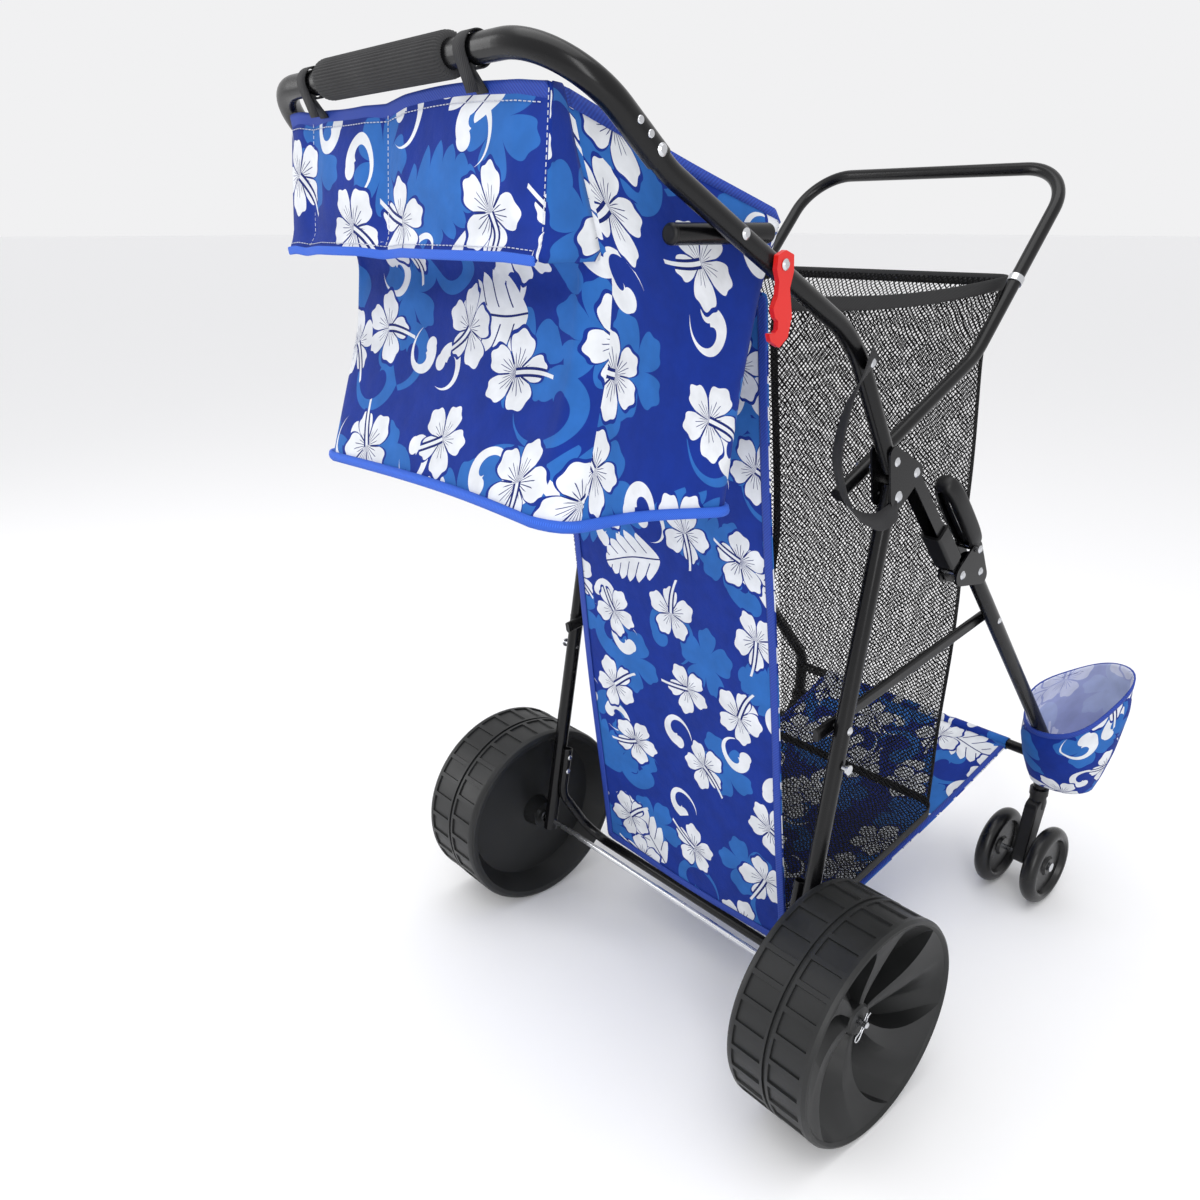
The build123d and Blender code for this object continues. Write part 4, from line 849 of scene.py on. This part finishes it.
def wheel_rings():
    """Rings from the inner hub over the tread to the outer rim: two rows of pads with a groove between."""
    x0, x1, rim_r = wheel_inner, wheel_outer, 125.0
    pads = 28
    parts = [0.0, 0.10, 0.115, 0.385, 0.40, 0.60, 0.615, 0.885, 0.90]
    turns = [tau * (k + p) / pads for k in range(pads) for p in parts]
    rings = []
    for x, r in ((x0 + 3, 5), (x0 + 3, 20), (x0 + 26, 24), (x0 + 34, 60), (x0 + 34, rim_r - 14),
                 (x0 + 6, rim_r),
                 (x0 + 1, rim_r + 3), (x0, tread_r - 6), (x0 + 2, tread_r - 2), (x0 + 6, tread_r)):
        rings.append([(x, r, a) for a in turns])

    def sunk(a, shift):
        phase = (a / tau * pads + shift) % 1.0
        return 0.11 < phase < 0.89

    rows = ((10, 0, 0), (10.6, 1, 0), (50, 1, 0), (50.6, 0, 0), (54.2, 0, 0), (54.8, 2, 0), (58.2, 2, 0),
            (58.8, 0, 0), (62.4, 0, 0.5), (63, 1, 0.5), (102.4, 1, 0.5), (103, 0, 0.5), (108, 0, 0))
    for across, kind, shift in rows:
        ring = []
        for a in turns:
            drop = 2.4 if kind == 2 else 2.3 if kind == 1 and sunk(a, shift) else 0.0
            ring.append((x0 + across, tread_r - drop, a))
        rings.append(ring)
    for x, r in ((x1 - 1, tread_r - 2.5), (x1, tread_r - 5), (x1 - 0.8, 134), (x1 - 4, 131.5)):
        rings.append([(x, r, a) for a in turns])
    return rings


spokes = 6
spoke_steps = 7
well_marks = [0.0, 0.03, 0.36, 0.42, 0.72, 1.0]


def spoke_turns(share):
    """Where the corners of one spoke and one well lie round the face, as shares of their sixth of it."""
    wide = 0.40 - 0.52 * share + 0.60 * share ** 2
    steps = [wide * k / spoke_steps for k in range(spoke_steps + 1)]
    return steps + [wide + (1 - wide) * m for m in well_marks[1:-1]], wide


def blade_rings():
    """The outer face: six spokes that flare into the rim, and a folded well between each two."""
    outer = wheel_outer
    rings = []
    for share in np.linspace(1, 0, 30):
        r = 21 + 110.5 * share
        turns, wide = spoke_turns(share)
        high = outer - 35 + 31 * share ** 1.7
        sink = 33 * (1 - share ** 3.2) ** 0.8 * min(1.0, 0.35 + 2.4 * share)
        sweep = radians(17) * share ** 1.4
        ring = []
        for k in range(spokes):
            for step, p in enumerate(turns):
                if step <= spoke_steps:
                    x = high + 1.6 * (1 - share) * sin(pi * step / spoke_steps)
                else:
                    depth = (1.0, 0.96, 0.90, 0.42)[step - spoke_steps - 1]
                    x = high - sink * depth
                ring.append((x, r, tau / spokes * (k + p) + sweep))
        rings.append(ring)
    hub_turns = spoke_turns(0.0)[0]
    for x, r in ((outer - 33.5, 20), (outer - 31, 17.5), (outer - 31, 8), (outer - 33, 4.3)):
        rings.append([(x, r, tau / spokes * (k + p)) for k in range(spokes) for p in hub_turns])
    return rings


for side, word in ((1, "right"), (-1, "left")):
    body = "wheel_r" if side > 0 else "wheel_l"
    tread = polar(f"rear_wheel_tread_{word}", wheel_rings()[::-1], moulded_pe, side)
    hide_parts(f"rear_wheel_{word}")
    face = polar(f"rear_wheel_face_{word}", blade_rings()[::-1], moulded_pe, side)
    for piece in (tread, face):
        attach(piece, body)


# ---------------- wheel clips ----------------
def wire(name, points, radius, material, body, count=72, sides=10):
    """Round wire through points in millimetres."""
    line = smooth_line(points, count)
    runs = np.gradient(line, axis=0)
    rings = []
    for point, run in zip(line, runs / np.linalg.norm(runs, axis=1, keepdims=True)):
        right = np.cross(run, (1, 0.02, 0.01))
        right /= np.linalg.norm(right)
        up = np.cross(run, right)
        rings.append([point + radius * (cos(a) * right + sin(a) * up)
                      for a in np.linspace(0, tau, sides, endpoint=False)])
    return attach(surface(name, rings, [material], closed=True, smooth=0), body)


# Hairpin clips: the straight leg goes through the axle, the waved leg grips it, and a round bow joins them.
clip_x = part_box("axle_rod")[1][0] * 1000 - 6
clip_route = [(13, 0), (6, 0), (-2, 0), (-9, -0.4), (-14, 2.0), (-18, 4.6), (-22.5, 3.6), (-23.5, -0.6),
              (-20, -3.9),
              (-15, -4.4), (-9.5, -4.6), (-5, -6.2), (0, -6.6), (4.5, -5.4), (8, -5.0), (12.5, -8.0)]
for side, word in ((1, "right"), (-1, "left")):
    turn = radians(62)
    route = [(side * clip_x, u * cos(turn) - v * sin(turn), tread_r + u * sin(turn) + v * cos(turn))
             for u, v in clip_route]
    clip = wire(f"wheel_clip_wire_{word}", route, 1.05, zinc_plate, "root")
    if side > 0:
        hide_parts("wheel_clips")


# ---------------- latch levers ----------------------------
def oval(centre, up, out, width, height, lift, corner=0.5, count=32):
    """A rounded outline: width along X, height along up, lifted along out."""
    ring = []
    for a in np.linspace(0, tau, count, endpoint=False):
        c, t = cos(a), sin(a)
        u = np.sign(c) * abs(c) ** corner * width / 2
        v = np.sign(t) * abs(t) ** corner * height / 2
        ring.append(np.array(centre) + (u, 0, 0) + np.array(up) * v + np.array(out) * lift)
    return ring


for side, word in ((1, "right"), (-1, "left")):
    lever_low, lever_high = (np.array(corner) * 1000 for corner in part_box(f"latch_lever_{word}"))
    lever_up = np.array((0, -0.653, 0.757))
    lever_out = np.array((0, 0.757, 0.653))
    lever_mid = (lever_low + lever_high) / 2 + lever_out * 3
    rings = []
    for width, height, lift, corner in ((20, 104, -9, 0.6), (30, 120, -8, 0.6), (35, 126, 0, 0.62),
                                        (36, 127, 7, 0.62),
                                        (33, 124, 10, 0.62), (28, 119, 10, 0.62), (24, 114, 6, 0.6),
                                        (21, 108, -3, 0.55),
                                        (12, 84, -4.5, 0.5), (1, 60, -4.5, 0.5)):
        rings.append(oval(lever_mid, lever_up, lever_out, width, height, lift, corner))
    lever = surface(f"latch_lever_moulded_{word}", rings, [moulded_pp], closed=True, smooth=1)
    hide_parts(f"latch_lever_{word}")
    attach(lever, "latch_r" if side > 0 else "latch_l")
